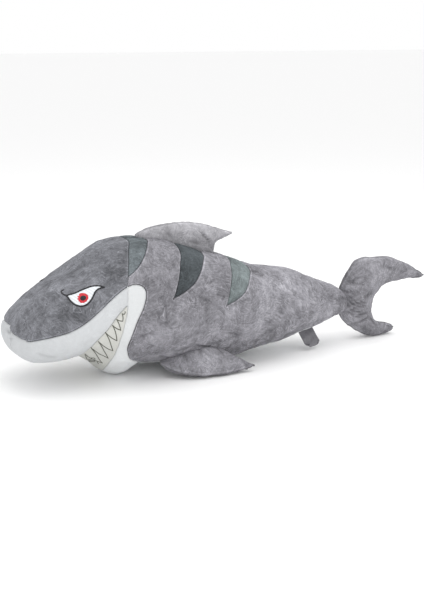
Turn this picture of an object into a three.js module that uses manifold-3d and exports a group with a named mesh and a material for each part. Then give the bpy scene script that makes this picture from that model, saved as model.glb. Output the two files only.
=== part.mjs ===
// Plush shark lying on its belly, built from sewn fabric panels over separate stuffing.
// Units are millimetres, +Z up, the snout points to -X, the left flank faces -Y.
// Section tables are written in a layout frame; everything is moved at the end so that the
// origin is the centre of the bounding box's bottom face.
import * as THREE from "three";
import { mergeVertices } from "three/addons/utils/BufferGeometryUtils.js";
import Module from "manifold-3d";

const wasm = await Module();
wasm.setup();

// ---------------------------------------------------------------- driving dimensions
const FLOOR_Z = 7; // height of the plane the toy rests on, in the layout frame
const SHELL = 3.0; // thickness given to the plush fabric of the body
const FIN_SHELL = 2.4; // thickness given to the plush fabric of the fins
const GAP = 0.3; // gap kept at every seam
const FILL_GAP = 0.5; // gap between fabric and stuffing
const SECTION_MID = 0.46; // height of the widest line, as a share of the section height
const TOP_EXP = 2.1; // superellipse exponent of the upper half section
const BODY_SIDES = 28; // points round a body section
const LINING_SIDES = 20; // points round the inside of the fabric and round the stuffing
const STOCK_AXIS_X = 316; // vertical axis the tail fin swings about
const STOCK_R = 38.2; // radius of the rounded rear end of the body about that axis
const STOCK_H = 40.4; // its half height
const STOCK_Z = 100.5; // height of its centre
const TAIL_CLEAR = 0.8; // clearance between the rear end and the tail fin's root
const DORSAL_CLEAR = 2.2; // dorsal root above the back
const PEC_CLEAR = 3.4; // pectoral root off the flank
const EMBROIDERY = [0.3, 1.3]; // embroidery stands between these offsets over the fabric
const THREAD_W = 2.0; // width of the tooth thread
const OUTLINE_W = 2.4; // width of the embroidered eye outline
const SIMPLIFY = 0.07; // surface tolerance when small facets left by cutting are merged

// x, top, bottom, half width, exponent of the lower half section
const BODY = [
  [-462, 112, 112, 0, 2.2],
  [-461.2, 127, 97, 43, 2.2],
  [-458.8, 138.5, 86, 66, 2.2],
  [-452.5, 150, 75, 83, 2.2],
  [-441, 163, 65, 97, 2.2],
  [-425, 176, 58, 108.5, 2.2],
  [-405, 191, 55.5, 118, 2.15],
  [-375, 209.5, 57, 126.5, 2.1],
  [-335, 234.5, 60.5, 133.5, 1.95],
  [-300, 260, 43, 137, 1.8],
  [-270, 278.5, 13.5, 140, 1.75],
  [-245, 289.5, 5.2, 141.3, 1.78],
  [-195, 294.5, 23, 141.5, 1.95],
  [-150, 290, 20, 139, 2.05],
  [-100, 278.5, 10, 135, 2.1],
  [-50, 260.5, 5, 129, 2.1],
  [0, 246, 5.5, 121, 2.1],
  [50, 227, 17, 112, 2.1],
  [100, 209.5, 25, 102, 2.15],
  [150, 198, 32, 91, 2.2],
  [200, 188, 44, 78, 2.2],
  [250, 168, 53, 62.4, 2.2],
  [290, 153, 62.5, 50, 2.2],
  [322, 138.5, 73, 38, 2.2],
  [340, 122.5, 82.5, 28.5, 2.2],
  [348, 110, 90, 19.5, 2.2],
  [352.5, 104, 96, 10, 2.2],
  [354, 99.8, 99.8, 0, 2.2],
];

// Side view (x, z) of the seams on one flank.
const WHITE_SEAM = [ // grey head and body against the white lips, from the nose round the cheek to the throat
  [-520, 128], [-458.5, 126], [-452, 123.2], [-443.4, 123.3], [-425.4, 125.5], [-403.6, 130.2], [-379.1, 136.8],
  [-354.4, 148], [-332.9, 161.7], [-310.5, 178.5], [-286.8, 195.9], [-263.2, 210.8], [-246.3, 218.1],
  [-229.9, 219], [-217.8, 212.2], [-215.5, 197.9], [-223.1, 175.8], [-238.8, 146.7], [-249.3, 120.8],
  [-255.5, 92.5], [-252, 76.7], [-243, 60.6], [-226, 49.5], [-206, 38], [-193, 24], [-188, 4], [-188, -30],
];
const MOUTH_SEAM = [ // white upper lip against the cream tooth panel
  [-257, 181], [-263.9, 176.8], [-287.4, 153.8], [-307.9, 126.7], [-322, 104.3], [-332, 85], [-332.5, 68], [-325, 52], [-318, 34], [-316, -30],
];
const LOWER_LIP_SEAM = [ // cream tooth panel against the white lower lip
  [-261, 181.5], [-258.9, 174], [-264.6, 149.6], [-273.8, 115.6], [-278.1, 75.3], [-280, 54], [-278, 34], [-271, 12], [-266, -30],
];
const CHEEK_SEAM = [[-245.5, 233], [-250, 222], [-252.3, 212.8], [-255.5, 194], [-259, 178]];
const STRIPE1_FRONT = [[-196, 325], [-203, 300], [-206.5, 293], [-221.6, 281], [-232.9, 263], [-241, 246], [-246.5, 230]];
const STRIPE1_REAR = [[-157, 325], [-160, 300], [-164, 291], [-174.4, 286], [-188.8, 275.9], [-205.5, 261.9], [-223.8, 247], [-247, 233.5]];
const STRIPE2_FRONT = [[-96, 325], [-98.5, 285], [-100, 276.5], [-103, 270.2], [-110.5, 260.1], [-121.2, 245.5], [-135.6, 219.5], [-156, 183]];
const STRIPE2_REAR = [[-24, 325], [-29, 262], [-35, 256], [-43, 250.4], [-58.7, 240.9], [-76.7, 224.6], [-98.4, 208.3], [-128, 194.1], [-157, 185.2]];
const STRIPE3_FRONT = [[35, 325], [32, 245], [29.1, 234], [16.2, 226], [4.5, 209.7], [-8, 187.4], [-26.5, 151.5]];
const STRIPE3_REAR = [[77, 325], [75.5, 230], [73.3, 217], [68.2, 210.2], [49.3, 194.7], [29.9, 176.3], [3.8, 162.1], [-27, 153.8]];
const BELLY_SEAM = [[-218, 36], [-200, 35.5], [-188, 34], [-150, 31], [-100, 22], [-50, 17.5], [0, 17.8], [35, 23.5], [85, 33], [135, 40], [200, 54], [250, 62.5], [283, 70.5], [297, 74], [305, 73], [309, 62], [310, 30], [310, -30]];

// Embroidered eye, side view.
const EYE_TOP = [[-364.7, 199.6], [-358.5, 201.6], [-351.5, 203.8], [-338.5, 209.6], [-324.8, 215.4], [-313.7, 218.2], [-304, 218.2], [-297, 216.4]];
const EYE_BOTTOM = [[-297, 216.4], [-306.5, 214], [-314.6, 209], [-320.5, 202.4], [-327, 194.8], [-336.4, 187.1], [-347, 183.6], [-356.6, 185.6], [-362, 191.6], [-364.7, 199.6]];
const EYE_HOOK = [[-361.2, 200.6], [-365.6, 199.9], [-369.2, 202], [-368, 205.8], [-362.5, 208.2]];
const IRIS = { x: -340.6, z: 197.2, r: 9.4 };
const PUPIL_R = 5.0;
const TOOTH_LINE = [
  [-265.2, 171.6], [-266.2, 165.4], [-271, 167.2], [-270.4, 151.6], [-283, 156.4], [-275.6, 133.8], [-291.6, 144.6], [-281.6, 111.6],
  [-305.2, 129.4], [-284.6, 87.4], [-316, 108.8], [-286.2, 66], [-327.6, 95.4], [-288, 50], [-328.6, 76],
];

// Dorsal fin: x, lower edge above the back (null = on the back), upper edge, half thickness
const DORSAL = [
  [-183, null, 297.6, 0], [-176, null, 302.4, 4.5], [-165, null, 306, 8.5], [-150, null, 309.2, 12], [-130, null, 312.6, 15],
  [-110, null, 315.6, 17], [-85, null, 317.2, 18], [-60, null, 316.3, 18], [-35, null, 312, 17.5], [-15, null, 307.5, 16.5],
  [-5, null, 304.5, 15.5], [3, 264, 301.2, 13.5], [13, 269, 297.8, 11], [25, 273.6, 293.4, 8.4], [36, 277.6, 289.6, 5.6],
  [43.5, 280.8, 286.8, 3], [48.4, 283.6, 283.6, 0],
];
const DORSAL_AXIS = [[-165, 295.6], [0, 249.4]]; // side view of the line it sways about

// Tail fin: outer edge (x, z), inner edge (x, z), half thickness, from the lower tip to the upper tip
const TAIL = [
  [489, 21.8, 489, 21.8, 0], [484.8, 14.4, 481, 28.5, 6.5], [466, 8.6, 464, 35, 12], [440, 7.4, 446, 39.5, 16],
  [415, 10.4, 434, 44, 18.5], [392, 18.8, 427.5, 50, 20.5], [368, 33.3, 424, 57, 22], [344, 50.6, 423, 64, 23],
  [324, 70, 423.4, 71, 24], [315, 100, 424.5, 80, 25], [324, 134, 427, 92, 25.5], [338.8, 154.2, 431, 103, 26],
  [352, 174.8, 438, 114.5, 26], [375, 191.8, 447, 123, 25.5], [405, 197.8, 460, 129, 24.5], [435, 195, 477, 132.5, 22.5],
  [462, 193.2, 496, 134.5, 20.5], [485, 187.4, 513, 137.6, 18], [507, 179.4, 530, 138, 15], [530, 168.4, 545, 136.3, 12],
  [552, 154, 558, 135.6, 8.5], [565, 145.6, 567, 137.4, 4.5], [573, 141, 573, 141, 0],
];

// Left pectoral fin: root x, root z on the flank (or a full root point), outer edge, half thickness
const PECTORAL = [
  { r: [-166, -86, 36.5], e: [-166, -86, 36.5], a: 0 },
  { x: -156, z: 37.5, e: [-155, -108, 28.5], a: 7.5 },
  { x: -142, z: 43.5, e: [-139, -122.5, 21.5], a: 11.5 },
  { x: -122, z: 53, e: [-120, -132.5, 17], a: 14.5 },
  { x: -100, z: 62.5, e: [-98, -138.5, 14], a: 16 },
  { x: -78, z: 67, e: [-74, -141, 12.5], a: 16.5 },
  { x: -56, z: 64, e: [-50, -142, 12], a: 16 },
  { x: -36, z: 55.5, e: [-24, -141.5, 12.5], a: 14.5 },
  { r: [-19, -108.5, 46.5], e: [-4, -140.5, 14], a: 12 },
  { r: [-3, -116.5, 38], e: [10, -139.5, 15.5], a: 9.5 },
  { r: [12.5, -124.5, 29.8], e: [20.5, -138, 16.8], a: 6.8 },
  { r: [24.5, -131, 24], e: [28.5, -136.6, 18], a: 4 },
  { r: [33.5, -135.2, 19.6], e: [33.5, -135.2, 19.6], a: 0 },
];

// Sewn-in label: its seam line on the underside and its free edge
const LABEL = { a: [209, -24, 46.2], b: [246.5, -22, 52.8], drop: [-1, -28, -37], thick: 1.8, slot: 0.6, hem: 3 };

// ---------------------------------------------------------------- helpers
// Monotone cubic through (x, y) samples.
function curve(xs, ys) {
  const n = xs.length, h = [], d = [], m = new Array(n).fill(0);
  for (let i = 0; i < n - 1; i++) { h.push(xs[i + 1] - xs[i]); d.push((ys[i + 1] - ys[i]) / h[i]); }
  for (let i = 1; i < n - 1; i++)
    if (d[i - 1] * d[i] > 0) {
      const w1 = 2 * h[i] + h[i - 1], w2 = h[i] + 2 * h[i - 1];
      m[i] = (w1 + w2) / (w1 / d[i - 1] + w2 / d[i]);
    }
  m[0] = d[0]; m[n - 1] = d[n - 2];
  return (t) => {
    let i = 0;
    while (i < n - 2 && t >= xs[i + 1]) i++;
    const u = (t - xs[i]) / h[i];
    return ys[i] * (1 + 2 * u) * (1 - u) ** 2 + h[i] * m[i] * u * (1 - u) ** 2 + ys[i + 1] * u * u * (3 - 2 * u) + h[i] * m[i + 1] * u * u * (u - 1);
  };
}
const knots = [0];
for (let i = 1; i < BODY.length; i++) {
  const p = BODY[i - 1], q = BODY[i];
  knots.push(knots[i - 1] + Math.hypot(q[0] - p[0], q[3] - p[3], 0.5 * (q[1] - q[2] - p[1] + p[2])));
}
const [fx, fTop, fBot, fHalf, fExp] = [0, 1, 2, 3, 4].map((j) => curve(knots, BODY.map((r) => r[j])));
const LAST = knots[knots.length - 1];
const X_MID = (BODY[0][0] + BODY[BODY.length - 1][0]) / 2, X_HALF = (BODY[BODY.length - 1][0] - BODY[0][0]) / 2;

// Section of the body at parameter t, grown by off.
function section(t, off) {
  const x = fx(t), top = fTop(t), bot = fBot(t), half = fHalf(t);
  return {
    x: X_MID + (x - X_MID) * (1 + off / X_HALF), mid: bot + (top - bot) * SECTION_MID,
    up: top + off - (bot + (top - bot) * SECTION_MID), dn: bot + (top - bot) * SECTION_MID - (bot - off), half: half + off, n: fExp(t),
  };
}
function tAt(x) {
  let a = 0, b = LAST;
  for (let i = 0; i < 60; i++) { const c = (a + b) / 2; if (fx(c) < x) a = c; else b = c; }
  return (a + b) / 2;
}
// Point of the flank at side-view (x, z); side -1 is the left flank.
function flank(x, z, side = -1, off = 0) {
  const s = section(tAt(x), off), h = z - s.mid, n = h >= 0 ? TOP_EXP : s.n, r = Math.min(1, Math.abs(h) / (h >= 0 ? s.up : s.dn));
  return new THREE.Vector3(x, side * s.half * (1 - r ** n) ** (1 / n), z);
}
function flankNormal(x, z, side = -1) {
  const e = 0.5, p = flank(x, z, side), px = flank(x + e, z, side).sub(flank(x - e, z, side)), pz = flank(x, z + e, side).sub(flank(x, z - e, side));
  const n = px.cross(pz).normalize();
  if (n.y * side < 0) n.negate();
  return n;
}

// Closed loft from rings of points; the first and last entries are single points.
function loft(rings) {
  const pos = [], idx = [], start = [];
  for (const r of rings) {
    start.push(pos.length / 3);
    for (const p of Array.isArray(r) ? r : [r]) pos.push(p.x, p.y, p.z);
  }
  for (let i = 0; i < rings.length - 1; i++) {
    const a = rings[i], b = rings[i + 1], n = Array.isArray(a) ? a.length : b.length;
    for (let j = 0; j < n; j++) {
      const k = (j + 1) % n;
      if (!Array.isArray(a)) idx.push(start[i], start[i + 1] + k, start[i + 1] + j);
      else if (!Array.isArray(b)) idx.push(start[i] + j, start[i] + k, start[i + 1]);
      else if (j >= n / 4 && j < (3 * n) / 4) idx.push(start[i] + j, start[i] + k, start[i + 1] + k, start[i] + j, start[i + 1] + k, start[i + 1] + j);
      else idx.push(start[i] + j, start[i] + k, start[i + 1] + j, start[i] + k, start[i + 1] + k, start[i + 1] + j); // the other half's diagonals mirror
    }
  }
  const g = new THREE.BufferGeometry();
  g.setAttribute("position", new THREE.Float32BufferAttribute(pos, 3));
  g.setIndex(idx);
  return g;
}
function toSolid(geometry) {
  const g = geometry.clone();
  for (const name of ["normal", "uv"]) if (g.getAttribute(name)) g.deleteAttribute(name);
  const merged = mergeVertices(g, 1e-4);
  const position = merged.getAttribute("position");
  const vertProperties = new Float32Array(position.count * 3);
  for (let i = 0; i < position.count; i++) vertProperties.set([position.getX(i), position.getY(i), position.getZ(i)], i * 3);
  const tri = Array.from(merged.index.array), make = (t) => new wasm.Manifold(new wasm.Mesh({ numProp: 3, vertProperties, triVerts: new Uint32Array(t) }));
  let solid = make(tri);
  if (solid.volume() < 0) {
    for (let i = 0; i < tri.length; i += 3) [tri[i + 1], tri[i + 2]] = [tri[i + 2], tri[i + 1]];
    solid = make(tri);
  }
  return solid;
}
function toGeometry(solid) {
  const m = solid.getMesh(), pos = new Float32Array(m.numVert * 3);
  for (let i = 0; i < m.numVert; i++) for (let k = 0; k < 3; k++) pos[i * 3 + k] = m.vertProperties[i * m.numProp + k];
  const g = new THREE.BufferGeometry();
  g.setAttribute("position", new THREE.BufferAttribute(pos, 3));
  g.setIndex(new THREE.BufferAttribute(new Uint32Array(m.triVerts), 1));
  g.computeVertexNormals();
  return g;
}
function box(x0, x1, y0, y1, z0, z1) {
  const g = new THREE.BoxGeometry(x1 - x0, y1 - y0, z1 - z0);
  g.translate((x0 + x1) / 2, (y0 + y1) / 2, (z0 + z1) / 2);
  return toSolid(g);
}
// Prism over a side-view outline, from y0 to y1.
function prism(outline, y0, y1) {
  const g = new THREE.ExtrudeGeometry(new THREE.Shape(outline.map(([x, z]) => new THREE.Vector2(x, z))), { depth: y1 - y0, bevelEnabled: false });
  g.rotateX(Math.PI / 2); // the outline's second coordinate becomes z, the depth runs to -y
  g.translate(0, y1, 0);
  return toSolid(g);
}
function smooth(points, step) {
  const c = new THREE.SplineCurve(points.map(([x, z]) => new THREE.Vector2(x, z)));
  return c.getSpacedPoints(Math.max(points.length, Math.round(c.getLength() / step))).map((p) => [p.x, p.y]);
}
// Outline of a band of the given width along a side-view line.
function band(line, width) {
  const a = [], b = [];
  for (let i = 0; i < line.length; i++) {
    const p = line[Math.max(0, i - 1)], q = line[Math.min(line.length - 1, i + 1)], c = line[i];
    let ux = c[0] - p[0], uz = c[1] - p[1], vx = q[0] - c[0], vz = q[1] - c[1];
    if (i === 0) [ux, uz] = [vx, vz];
    if (i === line.length - 1) [vx, vz] = [ux, uz];
    const lu = Math.hypot(ux, uz), lv = Math.hypot(vx, vz);
    let nx = -(uz / lu + vz / lv), nz = ux / lu + vx / lv;
    const ln = Math.hypot(nx, nz) || 1; nx /= ln; nz /= ln;
    const k = (width / 2) / Math.max(0.35, Math.abs(nx * (-uz / lu) + nz * (ux / lu)));
    a.push([c[0] + nx * k, c[1] + nz * k]); b.push([c[0] - nx * k, c[1] - nz * k]);
  }
  return a.concat(b.reverse());
}
// Prism over a stroke of the given width along a side-view line, with round joins, from y0 to y1.
function stroke(line, width, y0, y1) {
  const solids = [];
  line.forEach(([x, z], i) => {
    const g = new THREE.CylinderGeometry(width / 2, width / 2, y1 - y0, 6);
    g.translate(x, (y0 + y1) / 2, z);
    solids.push(toSolid(g));
    if (i === 0) return;
    const [px, pz] = line[i - 1], len = Math.hypot(x - px, z - pz);
    const b = new THREE.BoxGeometry(len, y1 - y0, width);
    b.rotateY(-Math.atan2(z - pz, x - px));
    b.translate((x + px) / 2, (y0 + y1) / 2, (z + pz) / 2);
    solids.push(toSolid(b));
  });
  return wasm.Manifold.union(solids);
}
const mirrorY = (solid) => solid.mirror([0, 1, 0]);
// The largest connected body of a solid.
function main(solid) {
  return solid.decompose().sort((p, q) => q.volume() - p.volume())[0];
}

// ---------------------------------------------------------------- body
function bodyLoft(off, stations, sides) {
  const rings = [];
  const first = section(0, off), last = section(LAST, off);
  rings.push(new THREE.Vector3(first.x, 0, first.mid));
  for (const t of stations) {
    const s = section(t, off), ring = [];
    for (let j = 0; j < sides; j++) {
      const th = (2 * Math.PI * j) / sides, c = Math.cos(th), q = Math.sin(th), n = q >= 0 ? TOP_EXP : s.n;
      ring.push(new THREE.Vector3(s.x, s.half * Math.sign(c) * Math.abs(c) ** (2 / n) * (Math.abs(c) < 1e-9 ? 0 : 1), s.mid + (q >= 0 ? s.up : s.dn) * Math.sign(q) * Math.abs(q) ** (2 / n)));
    }
    rings.push(ring);
  }
  rings.push(new THREE.Vector3(last.x, 0, last.mid));
  return toSolid(loft(rings));
}
const stations = [];
for (let i = 1; i < knots.length - 1; i++) {
  stations.push(knots[i]);
}
// Solid of revolution about the tail's swing axis.
function rearSpheroid(extra) {
  const pts = [];
  for (let i = 0; i <= 14; i++) {
    const a = -Math.PI / 2 + (Math.PI * i) / 14;
    pts.push(new THREE.Vector2(i === 0 || i === 14 ? 0 : (STOCK_R + extra) * Math.cos(a), (STOCK_H + extra) * Math.sin(a)));
  }
  const g = new THREE.LatheGeometry(pts, 28);
  g.rotateX(Math.PI / 2);
  g.translate(STOCK_AXIS_X, 0, STOCK_Z);
  return toSolid(g);
}
const above = box(-700, 700, -300, 300, FLOOR_Z, 500);
const frontHalf = box(-700, STOCK_AXIS_X, -300, 300, -50, 500);
const rearLimit = frontHalf.add(rearSpheroid(0));
const outer = bodyLoft(0, stations, BODY_SIDES);
const inner = bodyLoft(-SHELL, stations, LINING_SIDES);
let shell = outer.subtract(inner).intersect(above).intersect(rearLimit);
const stuffing = bodyLoft(-SHELL - FILL_GAP, stations, LINING_SIDES).intersect(frontHalf.add(rearSpheroid(-SHELL))).intersect(box(-700, 700, -300, 300, FLOOR_Z + 2.2, 500));

// Seam walls, cut through the shell on both flanks at once.
const wall = (line, step = 13) => prism(band(smooth(line, step), GAP), -260, 260);
const walls = [WHITE_SEAM, MOUTH_SEAM, LOWER_LIP_SEAM, CHEEK_SEAM, STRIPE1_FRONT, STRIPE1_REAR, STRIPE2_FRONT, STRIPE2_REAR, STRIPE3_FRONT, STRIPE3_REAR, BELLY_SEAM].map((l) => wall(l));
walls.push(box(-700, 700, -GAP / 2, GAP / 2, 112, 500)); // centre seam over the nose and the back
walls.push(box(-700, -317, -GAP / 2, GAP / 2, -50, 113)); // centre seam under the snout
walls.push(box(303, 700, -GAP / 2, GAP / 2, -50, 113)); // centre seam round the rear end
for (const w of walls) shell = shell.subtract(w);
const cells = shell.decompose().filter((c) => c.volume() > 60);

// Names are given by a point in the middle of each panel.
function panelAt(x, z, side) {
  const p = flank(x, z, side), n = flankNormal(x, z, side);
  p.addScaledVector(n, -SHELL / 2);
  const probe = box(p.x - 0.8, p.x + 0.8, p.y - 0.8, p.y + 0.8, p.z - 0.8, p.z + 0.8);
  return cells.findIndex((c) => c.intersect(probe).volume() > 1e-3);
}

// ---------------------------------------------------------------- assembly
const COLOURS = {
  head: [0x7d7e83, 0.95], back: [0x8d8c91, 0.95], stripe1: [0x72767a, 0.95], stripe2: [0x616568, 0.95], stripe3: [0x8a8f92, 0.95],
  white: [0xdfe1e4, 0.9], cream: [0xcacac6, 0.9], fin: [0x8b888e, 0.95], fill: [0xf2f0ea, 1], thread: [0x55564d, 0.7],
  eyeWhite: [0xe0e5e8, 0.6], iris: [0xcd3741, 0.6], black: [0x2d2d34, 0.6], label: [0x757479, 0.5],
};
const root = new THREE.Group();
const pieces = [];
function put(name, solid, colour) {
  pieces.push([name, main(solid.simplify(SIMPLIFY)), colour]);
}
const PANELS = [
  ["head_panel", -400, 170, "head"],
  ["upper_lip_panel", -400, 100, "white"],
  ["stripe1_panel", -200, 278, "stripe1"],
  ["stripe2_panel", -96, 240, "stripe2"],
  ["stripe3_panel", 30, 205, "stripe3"],
  ["body_panel", 60, 110, "back"],
];
const used = new Set();
for (const [name, x, z, colour] of PANELS)
  for (const [suffix, side] of [["_left", -1], ["_right", 1]]) {
    const i = panelAt(x, z, side);
    if (i < 0 || used.has(i)) throw new Error(name + suffix + ": no panel of its own at that point");
    used.add(i);
    put(name + suffix, cells[i], colour);
  }
for (const [name, x, z, colour] of [["lower_lip_panel", -240, 170, "white"], ["tooth_panel", -290, 110, "cream"], ["belly_panel", -20, 12, "white"]]) {
  const i = panelAt(x, z, -1);
  if (i < 0 || used.has(i)) throw new Error(name + ": no panel of its own at that point");
  used.add(i);
  put(name, cells[i], colour);
}
put("body_stuffing", stuffing, "fill");

// Embroidery: cut from a thin skin over the fabric.
const skin = bodyLoft(EMBROIDERY[1], stations, BODY_SIDES).subtract(bodyLoft(EMBROIDERY[0], stations, BODY_SIDES));
const lids = smooth(EYE_TOP, 9).concat(smooth(EYE_BOTTOM, 9).slice(1));
const disc = (r) => Array.from({ length: 16 }, (_, i) => [IRIS.x + r * Math.cos((Math.PI * i) / 8), IRIS.z + r * Math.sin((Math.PI * i) / 8)]);
const side = (outline) => prism(outline, -260, -1);
const line = (points, width) => stroke(points, width, -260, -1);
const eyeParts = {
  eye_white: main(skin.intersect(side(lids.slice(0, -1)).subtract(line(lids, OUTLINE_W + 2 * GAP)).subtract(side(disc(IRIS.r + GAP))))),
  eye_iris: main(skin.intersect(side(disc(IRIS.r)).subtract(side(disc(PUPIL_R + GAP))).subtract(line(lids, OUTLINE_W + 2 * GAP)))),
  eye_pupil: main(skin.intersect(side(disc(PUPIL_R)))),
  eye_outline: main(skin.intersect(line(lids, OUTLINE_W).add(line(smooth(EYE_HOOK, 4), OUTLINE_W)))),
  tooth_thread: main(skin.intersect(line(TOOTH_LINE, THREAD_W))),
};
const eyeColours = { eye_white: "eyeWhite", eye_iris: "iris", eye_pupil: "black", eye_outline: "black", tooth_thread: "thread" };
for (const [name, solid] of Object.entries(eyeParts)) {
  put(name + "_left", solid, eyeColours[name]);
  put(name + "_right", mirrorY(solid), eyeColours[name]);
}

// ---------------------------------------------------------------- fins
// Each station: edge points a and b, half thickness h, unit thickness direction n.
function finLoft(st, shrink, sides, skip) {
  const list = st.slice(skip, st.length - skip), rings = [];
  list.forEach((s, i) => {
    const mid = s.a.clone().add(s.b).multiplyScalar(0.5), half = s.a.clone().sub(s.b).multiplyScalar(0.5), len = half.length();
    if (i === 0 || i === list.length - 1) { rings.push(mid); return; }
    half.multiplyScalar(Math.max(0.25, (len - shrink) / len));
    const t = Math.max(s.h * 0.3, s.h - shrink), ring = [];
    for (let j = 0; j < sides; j++) {
      const th = (2 * Math.PI * j) / sides;
      ring.push(mid.clone().addScaledVector(half, Math.cos(th)).addScaledVector(s.n, t * Math.sin(th)));
    }
    rings.push(ring);
  });
  return toSolid(loft(rings));
}
const Y = new THREE.Vector3(0, 1, 0);
function finPieces(base, st, names, split, extraCut) {
  const hull = finLoft(st, 0, 14, 0), hollow = finLoft(st, FIN_SHELL, 14, 1), fill = finLoft(st, FIN_SHELL + FILL_GAP, 14, 2);
  let cloth = hull.subtract(hollow), pad = fill;
  if (extraCut) { cloth = cloth.subtract(extraCut(0)); pad = pad.subtract(extraCut(1.5)); }
  const [below, over] = split;
  put(base + names[0], main(cloth.intersect(below)), "fin");
  put(base + names[1], main(cloth.intersect(over)), "fin");
  put(base + "_stuffing", main(pad), "fill");
}
const slab = (n, at, keep) => {
  // half space on one side of a plane through "at", set back by half a gap
  const g = new THREE.BoxGeometry(1600, 1600, 800);
  g.translate(0, 0, 400 + GAP / 2);
  const q = new THREE.Quaternion().setFromUnitVectors(new THREE.Vector3(0, 0, 1), n.clone().multiplyScalar(keep));
  g.applyQuaternion(q);
  g.translate(at.x, at.y, at.z);
  return toSolid(g);
};
const mid0 = new THREE.Vector3();

const dorsalSt = DORSAL.map(([x, lo, hi, h]) => {
  const onBack = lo === null ? fTop(tAt(x)) + DORSAL_CLEAR : lo;
  return { a: new THREE.Vector3(x, 0, h === 0 ? hi : onBack), b: new THREE.Vector3(x, 0, hi), h, n: Y };
});
finPieces("dorsal_fin", dorsalSt, ["_left", "_right"], [slab(Y, mid0, -1), slab(Y, mid0, 1)]);

const tailSt = TAIL.map(([ox, oz, ix, iz, h]) => ({ a: new THREE.Vector3(ox, 0, oz + 0.4), b: new THREE.Vector3(ix, 0, iz), h, n: Y }));
finPieces("tail_fin", tailSt, ["_left", "_right"], [slab(Y, mid0, -1), slab(Y, mid0, 1)], (e) => rearSpheroid(TAIL_CLEAR + e).add(box(0, 322, -300, 300, -50, 500)));

const pecSt = PECTORAL.map((s) => {
  const r = s.r ? new THREE.Vector3(...s.r) : flank(s.x, s.z).addScaledVector(flankNormal(s.x, s.z), PEC_CLEAR);
  const e = new THREE.Vector3(...s.e);
  const d = e.clone().sub(r);
  const n = d.lengthSq() > 1 ? new THREE.Vector3(1, 0, 0).cross(d).normalize() : new THREE.Vector3(0, 0, 1);
  if (n.z < 0) n.negate();
  return { a: e, b: r, h: s.a, n };
});
const pecRoot = [pecSt[2].b.clone(), pecSt[7].b.clone()];
const before = pieces.length;
{
  const hull = finLoft(pecSt, 0, 14, 0), hollow = finLoft(pecSt, FIN_SHELL, 14, 1), fill = finLoft(pecSt, FIN_SHELL + FILL_GAP, 14, 2);
  const keep = box(-700, 700, -300, 300, FLOOR_Z + 0.4, 500);
  const cloth = hull.subtract(hollow).intersect(keep);
  // upper and lower cloth part at a thin sheet through the edge lines
  const sheet = [];
  for (const s of pecSt) {
    const d = s.a.clone().sub(s.b);
    const out = d.length() > 1 ? d.clone().normalize().multiplyScalar(14) : new THREE.Vector3(0, -10, -9);
    const a = s.a.clone().add(out), b = s.b.clone().sub(out);
    if (s === pecSt[0]) { a.x -= 14; b.x -= 14; }
    if (s === pecSt[pecSt.length - 1]) { a.x += 14; b.x += 14; }
    sheet.push([a, b, s.n]);
  }
  const rings = sheet.map(([a, b, n]) => [a.clone().addScaledVector(n, GAP / 2), b.clone().addScaledVector(n, GAP / 2), b.clone().addScaledVector(n, -GAP / 2), a.clone().addScaledVector(n, -GAP / 2)]);
  const first = rings[0].reduce((p, q) => p.add(q), new THREE.Vector3()).multiplyScalar(0.25), last = rings[rings.length - 1].reduce((p, q) => p.add(q), new THREE.Vector3()).multiplyScalar(0.25);
  const cut = toSolid(loft([first, ...sheet.map(([a, b, n]) => [a.clone().addScaledVector(n, GAP / 2), b.clone().addScaledVector(n, GAP / 2), b.clone().addScaledVector(n, -GAP / 2), a.clone().addScaledVector(n, -GAP / 2)]), last]));
  const halves = cloth.subtract(cut).decompose().filter((c) => c.volume() > 200).sort((p, q) => { const bp = p.boundingBox(), bq = q.boundingBox(); return bq.max[2] - bp.max[2]; });
  if (halves.length !== 2) throw new Error("the pectoral cloth came apart into " + halves.length);
  const pad = main(fill.intersect(box(-700, 700, -300, 300, FLOOR_Z + 3, 500)));
  for (const [suffix, turn] of [["_left", (s) => s], ["_right", mirrorY]]) {
    put("pectoral_fin_upper" + suffix, turn(halves[0]), "fin");
    put("pectoral_fin_lower" + suffix, turn(halves[1]), "fin");
    put("pectoral_fin_stuffing" + suffix, turn(pad), "fill");
  }
}

// ---------------------------------------------------------------- label: a ribbon folded in half
{
  const a = new THREE.Vector3(...LABEL.a), b = new THREE.Vector3(...LABEL.b), drop = new THREE.Vector3(...LABEL.drop);
  const u = b.clone().sub(a).normalize(), n = u.clone().cross(drop).normalize(), v = n.clone().cross(u).normalize();
  if (v.dot(drop) < 0) v.negate();
  const w = b.distanceTo(a), l = drop.dot(v);
  // profile of the folded ribbon across its thickness, run along the seam
  const t = LABEL.thick / 2, s = LABEL.slot / 2, shape = new THREE.Shape();
  shape.moveTo(-t, 0); shape.lineTo(-t, l - t); shape.absarc(0, l - t, t, Math.PI, 0, true); shape.lineTo(t, 0);
  shape.lineTo(s, 0); shape.lineTo(s, l - t - 0.4); shape.lineTo(-s, l - t - 0.4); shape.lineTo(-s, 0); shape.closePath();
  const g = new THREE.ExtrudeGeometry(shape, { depth: w, bevelEnabled: false, curveSegments: 6 });
  const m = new THREE.Matrix4().makeBasis(n, v, u).setPosition(a);
  g.applyMatrix4(m);
  put("care_label", toSolid(g).intersect(box(-700, 700, -300, 300, FLOOR_Z + 0.5, 500)), "label");
}

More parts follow.
